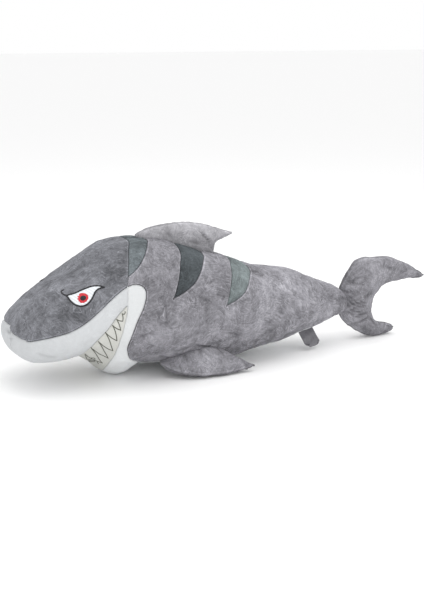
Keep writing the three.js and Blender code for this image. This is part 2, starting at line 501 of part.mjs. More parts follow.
// ---------------------------------------------------------------- move to the shared frame
const size = new THREE.Box3(), geometries = pieces.map(([name, solid, colour]) => {
  const g = toGeometry(solid);
  g.computeBoundingBox();
  size.union(g.boundingBox);
  return [name, g, colour];
});
export const shift = new THREE.Vector3(-(size.min.x + size.max.x) / 2, -(size.min.y + size.max.y) / 2, -size.min.z);
for (const [name, g, colour] of geometries) {
  g.translate(shift.x, shift.y, shift.z);
  const [hex, roughness] = COLOURS[colour];
  const mesh = new THREE.Mesh(g, new THREE.MeshStandardMaterial({ color: hex, roughness, metalness: 0 }));
  mesh.name = name;
  root.add(mesh);
}
// Points for the joints and the mount, in the shared frame.
export const marks = {
  dorsal: DORSAL_AXIS.map(([x, z]) => new THREE.Vector3(x, 0, z).add(shift)),
  tail: new THREE.Vector3(STOCK_AXIS_X, 0, STOCK_Z).add(shift),
  pectoral: pecRoot.map((p) => p.clone().add(shift)),
  label: [new THREE.Vector3(...LABEL.a).add(shift), new THREE.Vector3(...LABEL.b).add(shift)],
};

export default root;
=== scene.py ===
import math
import bpy
import bmesh
import numpy as np
from mathutils import Vector, Matrix, noise
from mathutils.geometry import delaunay_2d_cdt
from mathutils.kdtree import KDTree

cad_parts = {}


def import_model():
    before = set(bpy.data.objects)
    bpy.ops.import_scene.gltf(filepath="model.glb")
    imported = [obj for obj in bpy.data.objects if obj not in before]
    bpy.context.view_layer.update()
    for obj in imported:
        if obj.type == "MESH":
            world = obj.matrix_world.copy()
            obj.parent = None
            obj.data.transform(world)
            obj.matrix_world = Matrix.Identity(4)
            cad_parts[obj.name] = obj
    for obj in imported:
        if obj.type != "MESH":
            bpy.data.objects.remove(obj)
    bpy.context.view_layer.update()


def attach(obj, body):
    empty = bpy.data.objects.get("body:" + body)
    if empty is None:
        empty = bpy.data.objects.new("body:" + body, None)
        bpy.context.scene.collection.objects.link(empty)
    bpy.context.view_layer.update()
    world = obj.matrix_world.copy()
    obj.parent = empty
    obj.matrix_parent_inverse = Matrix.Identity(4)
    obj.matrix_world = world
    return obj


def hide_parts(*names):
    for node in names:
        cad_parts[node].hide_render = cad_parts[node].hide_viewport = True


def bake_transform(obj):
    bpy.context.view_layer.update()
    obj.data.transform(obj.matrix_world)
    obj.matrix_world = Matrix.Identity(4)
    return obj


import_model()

# ------------------------------------------------------------------ layout numbers (mm), the CAD's own tables
SHIFT = np.array([-55.386, 0.0, -7.0])
FLOOR = 7.0
BODY = np.array([
    (-462, 112, 112, 0, 2.2), (-461.2, 127, 97, 43, 2.2), (-458.8, 138.5, 86, 66, 2.2), (-452.5, 150, 75, 83, 2.2),
    (-441, 163, 65, 97, 2.2), (-425, 176, 58, 108.5, 2.2), (-405, 191, 55.5, 118, 2.15), (-375, 209.5, 57, 126.5, 2.1),
    (-335, 234.5, 60.5, 133.5, 1.95), (-300, 260, 43, 137, 1.8), (-270, 278.5, 13.5, 140, 1.75), (-245, 289.5, 5.2, 141.3, 1.78),
    (-195, 294.5, 23, 141.5, 1.95), (-150, 290, 20, 139, 2.05), (-100, 278.5, 10, 135, 2.1), (-50, 260.5, 5, 129, 2.1),
    (0, 246, 5.5, 121, 2.1), (50, 227, 17, 112, 2.1), (100, 209.5, 25, 102, 2.15), (150, 198, 32, 91, 2.2),
    (200, 188, 44, 78, 2.2), (250, 168, 53, 62.4, 2.2), (288, 153, 62.5, 50, 2.2), (317, 138.5, 72, 38.5, 2.2),
    (332, 124.5, 80.5, 29.5, 2.2), (339.5, 112, 89, 20, 2.2), (343, 105, 95.5, 10.5, 2.2), (344, 99.8, 99.8, 0, 2.2)], float)
TOP_EXP, MID = 2.1, 0.46
WHITE_SEAM = [(-520, 128), (-458.5, 126), (-452, 123.2), (-443.4, 123.3), (-425.4, 125.5), (-403.6, 130.2), (-379.1, 136.8),
    (-354.4, 148), (-332.9, 161.7), (-310.5, 178.5), (-286.8, 195.9), (-263.2, 210.8), (-246.3, 218.1), (-229.9, 219), (-217.8, 212.2),
    (-215.5, 197.9), (-223.1, 175.8), (-238.8, 146.7), (-249.3, 120.8), (-255.5, 92.5), (-252, 76.7), (-243, 60.6), (-226, 49.5),
    (-206, 38), (-193, 24), (-188, 4), (-188, -30)]
MOUTH_SEAM = [(-257, 181), (-263.9, 176.8), (-287.4, 153.8), (-307.9, 126.7), (-322, 104.3), (-332, 85), (-332.5, 68), (-325, 52), (-318, 34), (-316, -30)]
LOWER_LIP_SEAM = [(-261, 181.5), (-258.9, 174), (-264.6, 149.6), (-273.8, 115.6), (-278.1, 75.3), (-280, 54), (-278, 34), (-271, 12), (-266, -30)]
CHEEK_SEAM = [(-245.5, 233), (-250, 222), (-252.3, 212.8), (-255.5, 194), (-259, 178)]
STRIPE1_FRONT = [(-196, 325), (-203, 300), (-206.5, 293), (-221.6, 281), (-232.9, 263), (-241, 246), (-246.5, 230)]
STRIPE1_REAR = [(-157, 325), (-160, 300), (-164, 291), (-174.4, 286), (-188.8, 275.9), (-205.5, 261.9), (-223.8, 247), (-247, 233.5)]
STRIPE2_FRONT = [(-96, 325), (-98.5, 285), (-100, 276.5), (-103, 270.2), (-110.5, 260.1), (-121.2, 245.5), (-135.6, 219.5), (-156, 183)]
STRIPE2_REAR = [(-24, 325), (-29, 262), (-35, 256), (-43, 250.4), (-58.7, 240.9), (-76.7, 224.6), (-98.4, 208.3), (-128, 194.1), (-157, 185.2)]
STRIPE3_FRONT = [(35, 325), (32, 245), (29.1, 234), (16.2, 226), (4.5, 209.7), (-8, 187.4), (-26.5, 151.5)]
STRIPE3_REAR = [(77, 325), (75.5, 230), (73.3, 217), (68.2, 210.2), (49.3, 194.7), (29.9, 176.3), (3.8, 162.1), (-27, 153.8)]
BELLY_SEAM = [(-218, 36), (-200, 35.5), (-188, 34), (-150, 31), (-100, 22), (-50, 17.5), (0, 17.8), (35, 23.5), (85, 33), (135, 40),
    (200, 54), (250, 62.5), (283, 70.5), (297, 74), (305, 73), (309, 62), (310, 30), (310, -30)]
EYE_TOP = [(-364.7, 199.6), (-358.5, 201.6), (-351.5, 203.8), (-338.5, 209.6), (-324.8, 215.4), (-313.7, 218.2), (-304, 218.2), (-297, 216.4)]
EYE_BOTTOM = [(-297, 216.4), (-306.5, 214), (-314.6, 209), (-320.5, 202.4), (-327, 194.8), (-336.4, 187.1), (-347, 183.6), (-356.6, 185.6), (-362, 191.6), (-364.7, 199.6)]
EYE_HOOK = [(-361.2, 200.6), (-365.6, 199.9), (-369.2, 202), (-368, 205.8), (-362.5, 208.2)]
IRIS = (-340.6, 197.2, 9.4)
PUPIL_R = 5.0
TOOTH_LINE = [(-265.2, 171.6), (-266.2, 165.4), (-271, 167.2), (-270.4, 151.6), (-283, 156.4), (-275.6, 133.8), (-291.6, 144.6), (-281.6, 111.6),
    (-305.2, 129.4), (-284.6, 87.4), (-316, 108.8), (-286.2, 66), (-327.6, 95.4), (-288, 50), (-328.6, 76)]
THREAD_CURL = [(-327, 73), (-321, 68), (-315, 61), (-310, 56), (-307, 60), (-310, 65), (-305, 64), (-301, 57), (-298, 51), (-303, 49), (-304, 54), (-298, 56), (-293, 50), (-290, 46)]
DORSAL = [(-183, None, 297.6, 0), (-176, None, 302.4, 4.5), (-165, None, 306, 8.5), (-150, None, 309.2, 12), (-130, None, 312.6, 15),
    (-110, None, 315.6, 17), (-85, None, 317.2, 18), (-60, None, 316.3, 18), (-35, None, 312, 17.5), (-15, None, 307.5, 16.5),
    (-5, None, 304.5, 15.5), (3, 264, 301.2, 13.5), (13, 269, 297.8, 11), (25, 273.6, 293.4, 8.4), (36, 277.6, 289.6, 5.6),
    (43, 280.4, 287.2, 3.8), (47.4, 281.6, 286.6, 2.8), (49.4, 284.2, 284.2, 0)]
TAIL = [(489, 21.8, 489, 21.8, 0), (484.8, 14.4, 481, 28.5, 6.5), (466, 8.6, 464, 35, 12), (440, 7.4, 446, 39.5, 16),
    (415, 10.4, 434, 44, 18.5), (392, 18.8, 427.5, 50, 20.5), (368, 33.3, 424, 57, 21), (346, 50.6, 423, 64, 19),
    (333, 70, 423.4, 71, 18), (327, 100, 424.5, 80, 18), (331, 128, 427, 92, 18.5), (342, 150, 431, 103, 21),
    (356.5, 171.5, 438, 114.5, 23.5), (375, 191.8, 447, 123, 25), (405, 197.8, 460, 129, 24.5), (435, 195, 477, 132.5, 22.5),
    (462, 193.2, 496, 134.5, 20.5), (485, 187.4, 513, 137.6, 18), (507, 179.4, 530, 138, 15), (530, 168.4, 545, 136.3, 12),
    (552, 154, 558, 135.6, 8.5), (565, 145.6, 567, 137.4, 4.5), (573, 141, 573, 141, 0)]
PECTORAL = [dict(r=(-166, -86, 36.5), e=(-166, -86, 36.5), a=0), dict(x=-156, z=37.5, e=(-155, -108, 28.5), a=7.5),
    dict(x=-142, z=43.5, e=(-139, -122.5, 21.5), a=11.5), dict(x=-122, z=53, e=(-120, -132.5, 17), a=14.5),
    dict(x=-100, z=62.5, e=(-98, -138.5, 14), a=16), dict(x=-78, z=67, e=(-74, -141, 12.5), a=16.5),
    dict(x=-56, z=64, e=(-50, -142, 12), a=16), dict(x=-36, z=55.5, e=(-24, -141.5, 12.5), a=14.5),
    dict(r=(-19, -108.5, 46.5), e=(-4, -140.5, 14), a=12), dict(r=(-3, -116.5, 38), e=(10, -139.5, 15.5), a=9.5),
    dict(r=(12.5, -124.5, 29.8), e=(20.5, -138, 16.8), a=6.8), dict(r=(24.5, -131, 24), e=(28.5, -136.6, 18), a=4.6),
    dict(r=(31, -133.8, 22.2), e=(32.2, -136.4, 17.4), a=3.4), dict(r=(34.2, -135.2, 19.8), e=(34.2, -135.2, 19.8), a=0)]
LABEL = dict(a=(209, -24, 46.2), b=(246.5, -22, 52.8), drop=(-1, -28, -37))

STEP = 3.3  # spacing of the trunk's mesh


# ------------------------------------------------------------------ curves and the trunk's surface
class Pchip:
    def __init__(s, x, y):
        s.x, s.y = np.asarray(x, float), np.asarray(y, float)
        h = np.diff(s.x); d = np.diff(s.y) / h; m = np.zeros(len(s.x))
        for i in range(1, len(s.x) - 1):
            if d[i - 1] * d[i] > 0:
                w1, w2 = 2 * h[i] + h[i - 1], h[i] + 2 * h[i - 1]
                m[i] = (w1 + w2) / (w1 / d[i - 1] + w2 / d[i])
        m[0], m[-1] = d[0], d[-1]
        s.h, s.m = h, m

    def __call__(s, t):
        t = np.asarray(t, float)
        i = np.clip(np.searchsorted(s.x, t, side="right") - 1, 0, len(s.x) - 2)
        h = s.h[i]; u = (t - s.x[i]) / h
        return s.y[i] * (1 + 2 * u) * (1 - u) ** 2 + h * s.m[i] * u * (1 - u) ** 2 + s.y[i + 1] * u * u * (3 - 2 * u) + h * s.m[i + 1] * u * u * (u - 1)


KN = np.concatenate([[0], np.cumsum(np.sqrt(np.diff(BODY[:, 0]) ** 2 + np.diff(BODY[:, 3]) ** 2 + (0.5 * np.diff(BODY[:, 1] - BODY[:, 2])) ** 2))])
FX, FT, FB, FW, FN = [Pchip(KN, BODY[:, j]) for j in range(5)]
LAST = KN[-1]
_tt = np.linspace(0, LAST, 40000)
_xx = FX(_tt)


def t_at(x):
    return np.interp(x, _xx, _tt)


def surf(t, th):
    t, th = np.broadcast_arrays(np.asarray(t, float), np.asarray(th, float))
    t = np.clip(t, 0, LAST)
    x, top, bot, w, nb = FX(t), FT(t), FB(t), FW(t), FN(t)
    m = bot + (top - bot) * MID
    c, s = np.cos(th), np.sin(th)
    c = np.where(np.abs(c) < 1e-9, 0, c)
    n = np.where(s >= 0, TOP_EXP, nb)
    y = w * np.sign(c) * np.abs(c) ** (2 / n)
    z = m + np.where(s >= 0, top - m, m - bot) * np.sign(s) * np.abs(s) ** (2 / n)
    return np.stack([x, y, z], -1)


def normals(t, th):
    et, eh = 1.5, 0.03
    a = surf(np.clip(t + et, 0, LAST), th) - surf(np.clip(t - et, 0, LAST), th)
    b = surf(t, th + eh) - surf(t, th - eh)
    n = np.cross(a, b)
    ln = np.linalg.norm(n, axis=-1, keepdims=True)
    n = n / np.maximum(ln, 1e-9)
    p = surf(t, th)
    ctr = np.stack([FX(t) * 0 + np.clip(p[..., 0], -380, 295), 0 * p[..., 1], (FT(t) + FB(t)) / 2], -1)
    sg = np.sign(((p - ctr) * n).sum(-1, keepdims=True))
    n = n * np.where(sg == 0, 1, sg)
    tip = (t < 0.8)
    n[tip] = (-1, 0, 0)
    tip = (t > LAST - 0.5)
    n[tip] = (1, 0, 0)
    return n


def theta_of(t, z, right=False):
    """Angle on the left flank (or the right one) where the section at t has height z."""
    top, bot, nb = FT(t), FB(t), FN(t)
    m = bot + (top - bot) * MID
    up = z >= m
    r = np.clip(np.where(up, (z - m) / np.maximum(top - m, 1e-6), (m - z) / np.maximum(m - bot, 1e-6)), 0, 1)
    a = np.arcsin(np.clip(r ** (np.where(up, TOP_EXP, nb) / 2), 0, 1))
    th = np.where(up, math.pi - a, math.pi + a)
    return math.pi - th if right else th


def catmull(points, step):
    p = np.array(points, float)
    p = np.vstack([2 * p[0] - p[1], p, 2 * p[-1] - p[-2]])
    out = []
    for i in range(1, len(p) - 2):
        n = max(2, int(np.linalg.norm(p[i + 1] - p[i]) / 0.5))
        u = np.linspace(0, 1, n, endpoint=False)[:, None]
        a, b, c, d = p[i - 1], p[i], p[i + 1], p[i + 2]
        out.append(0.5 * (2 * b + (c - a) * u + (2 * a - 5 * b + 4 * c - d) * u ** 2 + (3 * b - a - 3 * c + d) * u ** 3))
    out.append(p[-2][None])
    q = np.vstack(out)
    s = np.concatenate([[0], np.cumsum(np.linalg.norm(np.diff(q, axis=0), axis=1))])
    k = max(2, int(round(s[-1] / step)) + 1)
    g = np.linspace(0, s[-1], k)
    return np.stack([np.interp(g, s, q[:, j]) for j in range(q.shape[1])], -1)


R0 = 130.0


def to_param(line):
    """Side-view line to (t, angle) on the left flank, cut where it leaves the body and carried a little past the edge there."""
    q = catmull(line, 1.0)
    t = t_at(q[:, 0])
    top, bot = FT(t), FB(t)
    inside = (q[:, 1] < top) & (q[:, 1] > bot) & (q[:, 0] > BODY[0, 0]) & (q[:, 0] < BODY[-1, 0])
    idx = np.where(inside)[0]
    a, b = idx[0], idx[-1]
    th = theta_of(t, q[:, 1])
    pts = [(t[i], th[i]) for i in range(a, b + 1)]
    if a > 0:
        over = th[a] < math.pi
        edge = math.pi / 2 if over else 1.5 * math.pi
        pts = [(t[a] + 0.2 * (t[a] - pts[1][0]), edge + (-0.05 if over else 0.05))] + pts
    if b < len(q) - 1:
        over = th[b] < math.pi
        edge = math.pi / 2 if over else 1.5 * math.pi
        pts = pts + [(t[b] + 0.2 * (t[b] - pts[-2][0]), edge + (-0.05 if over else 0.05))]
    p = np.array(pts)
    g = np.stack([p[:, 0], p[:, 1] * R0], -1)
    s = np.concatenate([[0], np.cumsum(np.linalg.norm(np.diff(g, axis=0), axis=1))])
    k = max(2, int(round(s[-1] / (0.7 * STEP))) + 1)
    gs = np.linspace(0, s[-1], k)
    return np.stack([np.interp(gs, s, p[:, 0]), np.interp(gs, s, p[:, 1])], -1)


SEAMS = dict(white=WHITE_SEAM, mouth=MOUTH_SEAM, lip=LOWER_LIP_SEAM, cheek=CHEEK_SEAM, s1f=STRIPE1_FRONT, s1r=STRIPE1_REAR,
             s2f=STRIPE2_FRONT, s2r=STRIPE2_REAR, s3f=STRIPE3_FRONT, s3r=STRIPE3_REAR, belly=BELLY_SEAM)
PARAM = {k: to_param(v) for k, v in SEAMS.items()}


def world(p):
    return (np.asarray(p, float) + SHIFT) / 1000.0


# The two halves of the snout were not sewn quite level: how far the cloth sits above its pattern line, and how far back that fades
NOSE_LEFT, NOSE_RIGHT = (-6.5, 25.0), (6.0, 18.0)


def sewn(t, th, step):
    """(t, angle on the left) of each fabric point where it really lies on its flank near the nose."""
    t, th = np.array(t, float), np.array(th, float)
    p = surf(t, th)
    g = np.exp(-(np.maximum(p[:, 0] + 461, 0) / step[1]) ** 2) * np.clip((p[:, 2] - 97) / 18, 0, 1)
    todo = np.where(g > 0.01)[0]
    for i in todo:
        y, z = abs(p[i, 1]), p[i, 2] + step[0] * g[i]
        lo, hi = 0.0, float(t_at(-400.0))
        for _ in range(28):
            m = (lo + hi) / 2
            top, bot, w, nb = float(FT(m)), float(FB(m)), float(FW(m)), float(FN(m))
            mid = bot + (top - bot) * MID
            n = TOP_EXP if z >= mid else nb
            h = (top - mid) if z >= mid else (mid - bot)
            f = (y / max(w, 1e-6)) ** n + (abs(z - mid) / max(h, 1e-6)) ** n
            lo, hi = (m, hi) if f > 1 else (lo, m)
        a = math.asin(min(1.0, (abs(z - mid) / max(h, 1e-6)) ** (n / 2)))
        t[i] = (lo + hi) / 2
        th[i] = math.pi - a if z >= mid else math.pi + a
    return t, th


# Dense points on every seam of both flanks, for the dip along the seams.
seam_pts, seam_depth = [], []
DEPTH = dict(white=2.4, mouth=1.7, lip=1.2, cheek=0.3, s1f=1.5, s1r=1.7, s2f=1.8, s2r=1.8, s3f=1.7, s3r=1.3, belly=2.0)
for k, p in PARAM.items():
    g = catmull(p, 0.01) if False else p
    dense_t = np.interp(np.linspace(0, len(g) - 1, len(g) * 4), np.arange(len(g)), g[:, 0])
    dense_h = np.interp(np.linspace(0, len(g) - 1, len(g) * 4), np.arange(len(g)), g[:, 1])
    ok = (dense_h > math.pi / 2 - 1e-3) & (dense_h < 1.5 * math.pi + 1e-3)
    lt, lh = rt, rh = dense_t[ok], dense_h[ok]
    if k == "white":
        (lt, lh), (rt, rh) = sewn(lt, lh, NOSE_LEFT), sewn(rt, rh, NOSE_RIGHT)
    for q, r in zip(surf(lt, lh), surf(rt, rh)):
        seam_pts.append(tuple(q)); seam_depth.append(DEPTH[k])
        seam_pts.append((r[0], -r[1], r[2])); seam_depth.append(DEPTH[k])
for x in np.arange(-461, 338, 1.5):  # centre seam over the nose, head and back
    if x < 336:
        q = surf(t_at(x), math.pi / 2); seam_pts.append(tuple(q)); seam_depth.append(0.25 if x < -205 else 0.7)
    if x < -318 or x > 309:
        q = surf(t_at(x), 1.5 * math.pi); seam_pts.append(tuple(q)); seam_depth.append(1.2)
for z in np.arange(98, 128, 1.5):  # down the flat of the nose
    seam_pts.append((-461.8, 0.0, z)); seam_depth.append(1.6)
seam_kd = KDTree(len(seam_pts))
for i, q in enumerate(seam_pts):
    seam_kd.insert(q, i)
seam_kd.balance()

# Short folds pressed into the fabric: side-view line, depth, width, flank (-1 left, 1 right, 0 both)
FOLDS = [
    ([(-240, 112), (-227, 117), (-210, 119.5), (-194, 111)], 2.6, 3.6, 0),
    ([(-104, 78), (-99, 76), (-84, 72), (-70, 70), (-57, 72)], 4.2, 3.6, 0),
    ([(-50, 82), (-47, 72), (-45, 62)], 2.6, 2.8, 0),
    ([(-215, 83), (-203, 88.4), (-188, 83)], 2.2, 3.6, 0),
    ([(-60, 72), (-44, 78), (-30, 79)], 2.4, 3.2, 0),
    ([(-211, 65), (-187, 69), (-159, 64)], 1.8, 4.2, 0),
    ([(-186, 67), (-164, 56), (-140, 43)], 1.8, 4.4, 0),
    ([(-148, 66), (-123, 71), (-104, 78)], 2.6, 3.8, 0),
    ([(-32, 94), (-21, 94), (-11, 92), (11, 83)], 3.2, 3.4, 0),
    ([(-23, 85), (-8, 84), (6, 78)], 2.0, 3.0, 0),
    ([(-18, 101), (2, 99), (20, 92)], 1.5, 3.4, 0),
    ([(-27, 152), (6, 158), (32, 161)], 1.1, 6.0, 0),
    ([(-130, 96), (-108, 104), (-84, 104)], 1.4, 6.0, 0),
    ([(-190, 110), (-170, 104), (-150, 106)], 1.5, 6.0, 0),
    ([(60, 96), (80, 100), (96, 108)], 1.5, 6.0, 0),
    ([(192, 165), (225, 163), (242, 158)], 1.2, 5.0, 0),
    ([(245, 141), (267, 127), (276, 112)], 1.4, 5.0, 0),
    ([(293, 104), (306, 107), (322, 108)], 1.2, 4.0, 0),
    ([(300, 120), (314, 118), (326, 112)], 1.2, 4.0, 0),
    ([(296, 88), (310, 94), (324, 98)], 1.2, 4.0, 0),
    ([(118, 76), (157, 58), (195, 58)], 1.3, 7.0, 0),
    ([(30, 60), (62, 64), (90, 62)], 1.6, 7.0, 0),
    ([(-440, 98), (-418, 90), (-395, 86)], 1.0, 6.0, 0),
    ([(-300, 232), (-278, 229), (-252, 229)], 0.9, 3.6, 0),
    ([(-205, 180), (-190, 150), (-184, 120)], 1.1, 9.0, 0),
]
fold_pts, fold_info = [], []
for line, depth, width, which in FOLDS:
    q = catmull(line, 1.5)
    f = np.linspace(0, 1, len(q))
    taper = np.sin(np.pi * np.clip(f, 0, 1)) ** 0.7
    t = t_at(q[:, 0])
    for sy in ((-1, 1) if which == 0 else (which,)):
        s = surf(t, theta_of(t, q[:, 1], right=sy > 0))
        for a, b in zip(s, taper):
            fold_pts.append(tuple(a)); fold_info.append((depth * b, width))
fold_kd = KDTree(len(fold_pts))
for i, q in enumerate(fold_pts):
    fold_kd.insert(q, i)
fold_kd.balance()


def relief(p, n, seams=True):
    """How far the fabric stands off the plain section at each point, in mm."""
    out = np.zeros(len(p))
    for i, (q, m) in enumerate(zip(p, n)):
        v = Vector(q)
        d = 2.8 * noise.noise(v / 78 + Vector((3.1, 0, 0))) + 1.9 * noise.noise(v / 34 + Vector((0, 7.7, 0))) + 0.8 * noise.noise(v / 13)
        d *= min(1.0, (q[0] + 470) / 60) if q[0] < -410 else 1.0
        if seams:
            _, j, r = seam_kd.find(v)
            dep = seam_depth[j]
            d += -dep * math.exp(-(r / 2.6) ** 2) - 0.35 * dep * math.exp(-(r / 9.0) ** 2) + 1.3 * (1 - math.exp(-(r / 18.0) ** 2))
            d += 0.30 * min(dep, 1.6) * math.exp(-((r - 4.2) / 2.0) ** 2)
            # puckers running away from the seam
            d += min(dep, 2.0) * 0.42 * math.exp(-((r - 6) / 6.5) ** 2) * noise.noise(v / 6.0 + Vector((11, 5, 2)))
            # gathers in the white cloth at the nose
            if q[0] < -430:
                a = math.atan2(q[1], q[2] - 122)
                d += 0.9 * math.exp(-((math.hypot(q[1], q[2] - 122) - 14) / 13.0) ** 2) * math.sin(a * 9 + 1.3 * math.sin(a * 4))
        for _, j, r in fold_kd.find_n(v, 1):
            dep, w = fold_info[j]
            d += -dep * math.exp(-(r / w) ** 2) + 0.5 * dep * math.exp(-((r - 1.7 * w) / w) ** 2)
        out[i] = d
    return out


def place(t, th, off=0.0, seams=True):
    """World points and normals of the finished fabric at (t, angle)."""
    p, n = surf(t, th), normals(t, th)
    q = p + n * (relief(p, n, seams) + off)[:, None]
    q[:, 2] = np.maximum(q[:, 2], FLOOR + 0.2 + 0.2 * np.clip(off, 0, 1))
    return world(q), n


# ------------------------------------------------------------------ trunk panels
def trunk_cells():
    tmax = LAST
    pts, edges = [], []
    for k, p in PARAM.items():
        a = len(pts)
        pts += [(u, v * R0) for u, v in p]
        edges += [(a + i, a + i + 1) for i in range(len(p) - 1)]
    kd = KDTree(len(pts) * 1)
    for i, (u, v) in enumerate(pts):
        kd.insert((u, v, 0), i)
    kd.balance()
    lo, hi = math.pi / 2 * R0, 1.5 * math.pi * R0
    nrow = int(tmax / STEP)
    bl, br = [], []
    for i in range(nrow + 1):
        t = tmax * i / nrow
        w, h = float(FW(t)), float(FT(t) - FB(t)) / 2
        half = math.pi * math.sqrt((w * w + h * h) / 2)
        n = max(5, int(half / STEP))
        for j in range(n + 1):
            f = (j + (0.5 if i % 2 and 0 < j < n else 0)) / n
            v = lo + (hi - lo) * min(f, 1)
            if 0 < j < n and kd.find((t, v, 0))[2] < 0.55 * STEP:
                continue
            if j == n and i % 2:
                v = hi
            pts.append((t, v))
            if j == 0:
                bl.append(len(pts) - 1)
            if j == n:
                br.append(len(pts) - 1)
    edges += list(zip(bl[:-1], bl[1:])) + list(zip(br[:-1], br[1:]))
    res = delaunay_2d_cdt([Vector(p) for p in pts], edges, [], 0, 1e-4)
    verts = np.array([tuple(v) for v in res[0]])
    tri = [tuple(f) for f in res[2]]
    con = {tuple(sorted(e)) for e, o in zip(res[1], res[4]) if len(o)}
    keep = []
    for f in tri:
        c = verts[list(f)].mean(0)
        if lo < c[1] < hi and 0 < c[0] < tmax:
            keep.append(f)
    # groups of triangles not parted by a seam
    parent = list(range(len(keep)))

    def find(i):
        while parent[i] != i:
            parent[i] = parent[parent[i]]
            i = parent[i]
        return i
    by = {}
    for i, f in enumerate(keep):
        for a, b in ((f[0], f[1]), (f[1], f[2]), (f[2], f[0])):
            e = tuple(sorted((a, b)))
            if e in con:
                continue
            if e in by:
                ra, rb = find(i), find(by[e])
                parent[ra] = rb
            else:
                by[e] = i
    cells = {}
    for i in range(len(keep)):
        cells.setdefault(find(i), []).append(keep[i])
    return verts, [c for c in cells.values()]


PV, CELLS = trunk_cells()
CENT = [np.array([PV[list(f)].mean(0) for f in c]) for c in CELLS]


def cell_at(x, z):
    t = float(t_at(x)); v = float(theta_of(np.array(t), np.array(float(z)))) * R0
    d = [np.min(np.hypot(c[:, 0] - t, c[:, 1] - v)) for c in CENT]
    return int(np.argmin(d))


def mesh_object(name, verts, faces, smooth=True):
    me = bpy.data.meshes.new(name)
    me.from_pydata([tuple(v) for v in verts], [], [tuple(f) for f in faces])
    me.update()
    if smooth:
        me.shade_smooth()
    o = bpy.data.objects.new(name, me)
    bpy.context.scene.collection.objects.link(o)
    return o


def tidy(o, dist=2e-5, flip_out=None):
    bm = bmesh.new(); bm.from_mesh(o.data)
    bmesh.ops.remove_doubles(bm, verts=bm.verts, dist=dist)
    bad = [f for f in bm.faces if f.calc_area() < 1e-12]
    if bad:
        bmesh.ops.delete(bm, geom=bad, context="FACES")
    loose = [v for v in bm.verts if not v.link_faces]
    if loose:
        bmesh.ops.delete(bm, geom=loose, context="VERTS")
    bmesh.ops.recalc_face_normals(bm, faces=bm.faces)
    if flip_out is not None and bm.faces:
        c = Vector(flip_out)
        s = sum((f.calc_center_median() - c).dot(f.normal) * f.calc_area() for f in bm.faces)
        if s < 0:
            bmesh.ops.reverse_faces(bm, faces=bm.faces)
    bm.to_mesh(o.data); bm.free()
    o.data.update()
    for p in o.data.polygons:
        p.use_smooth = True


UID = np.unique(np.array([i for c in CELLS for f in c for i in f]))
LT, LH = sewn(PV[UID, 0], PV[UID, 1] / R0, NOSE_LEFT)
RT, RH = sewn(PV[UID, 0], PV[UID, 1] / R0, NOSE_RIGHT)
LP, LN = place(LT, LH)
RP, RN = place(RT, math.pi - RH)
LOOK = {int(u): i for i, u in enumerate(UID)}


def seam_mm(pts):
    """Distance in mm from each point of the plain section to the nearest seam; the faint centre seam counts as far."""
    out = np.zeros(len(pts))
    for i, q in enumerate(pts):
        _, j, r = seam_kd.find(Vector(q))
        out[i] = r if seam_depth[j] > 0.5 else 40.0
    return out


LSEAM, RSEAM = seam_mm(surf(LT, LH)), seam_mm(surf(RT, math.pi - RH))


# how deep in a pressed fold each point lies, for the painted shade in the creases
def fold_shade_mask(pts):
    out = np.zeros(len(pts))
    for i, q in enumerate(pts):
        _, j, r = fold_kd.find(Vector(q))
        dep, w = fold_info[j]
        out[i] = min(1.0, dep / 3.0) * math.exp(-(r / (0.62 * w)) ** 2)
    return out


FOLD_SHADE_L, FOLD_SHADE_R = fold_shade_mask(surf(PV[UID, 0], PV[UID, 1] / R0)), fold_shade_mask(surf(PV[UID, 0], math.pi - PV[UID, 1] / R0))


def store(o, name, values):
    a = o.data.attributes.new(name, "FLOAT", "POINT")
    a.data.foreach_set("value", np.asarray(values, np.float32))
CENTRE = (world((-100, 0, 130))).tolist()


def bake(o):
    """The piece's modifiers, worked into its mesh."""
    bpy.context.view_layer.update()
    e = o.evaluated_get(bpy.context.evaluated_depsgraph_get())
    me = bpy.data.meshes.new_from_object(e)
    o.modifiers.clear()
    o.data = me
    for p in me.polygons:
        p.use_smooth = True
    return o


def shell(o, thick=0.0018):
    m = o.modifiers.new("thickness", "SOLIDIFY")
    m.thickness = thick; m.offset = -1.0; m.use_even_offset = False
    return bake(o)


def panel(name, seeds, sides, slot, thick=0.0018):
    verts, faces, dist, fold = [], [], [], []
    for side in sides:
        for s in seeds:
            cell = CELLS[cell_at(*s)]
            src = LP if side < 0 else RP
            used = {}
            for f in cell:
                g = []
                for i in f:
                    if i not in used:
                        used[i] = len(verts)
                        verts.append(src[LOOK[i]])
                        dist.append((LSEAM if side < 0 else RSEAM)[LOOK[i]])
                        fold.append((FOLD_SHADE_L if side < 0 else FOLD_SHADE_R)[LOOK[i]])
                    g.append(used[i])
                faces.append(g if side < 0 else g[::-1])
    o = mesh_object(name, verts, faces)
    store(o, "seam_mm", dist)
    # the fold depth drives the material's painted shade in the creases
    store(o, "fold", fold)
    tidy(o, 2e-5, CENTRE)
    return shell(o, thick)


# ------------------------------------------------------------------ materials
def srgb(r, g, b):
    f = lambda v: (v / 255 / 12.92) if v / 255 <= 0.04045 else ((v / 255 + 0.055) / 1.055) ** 2.4
    return (f(r), f(g), f(b), 1.0)


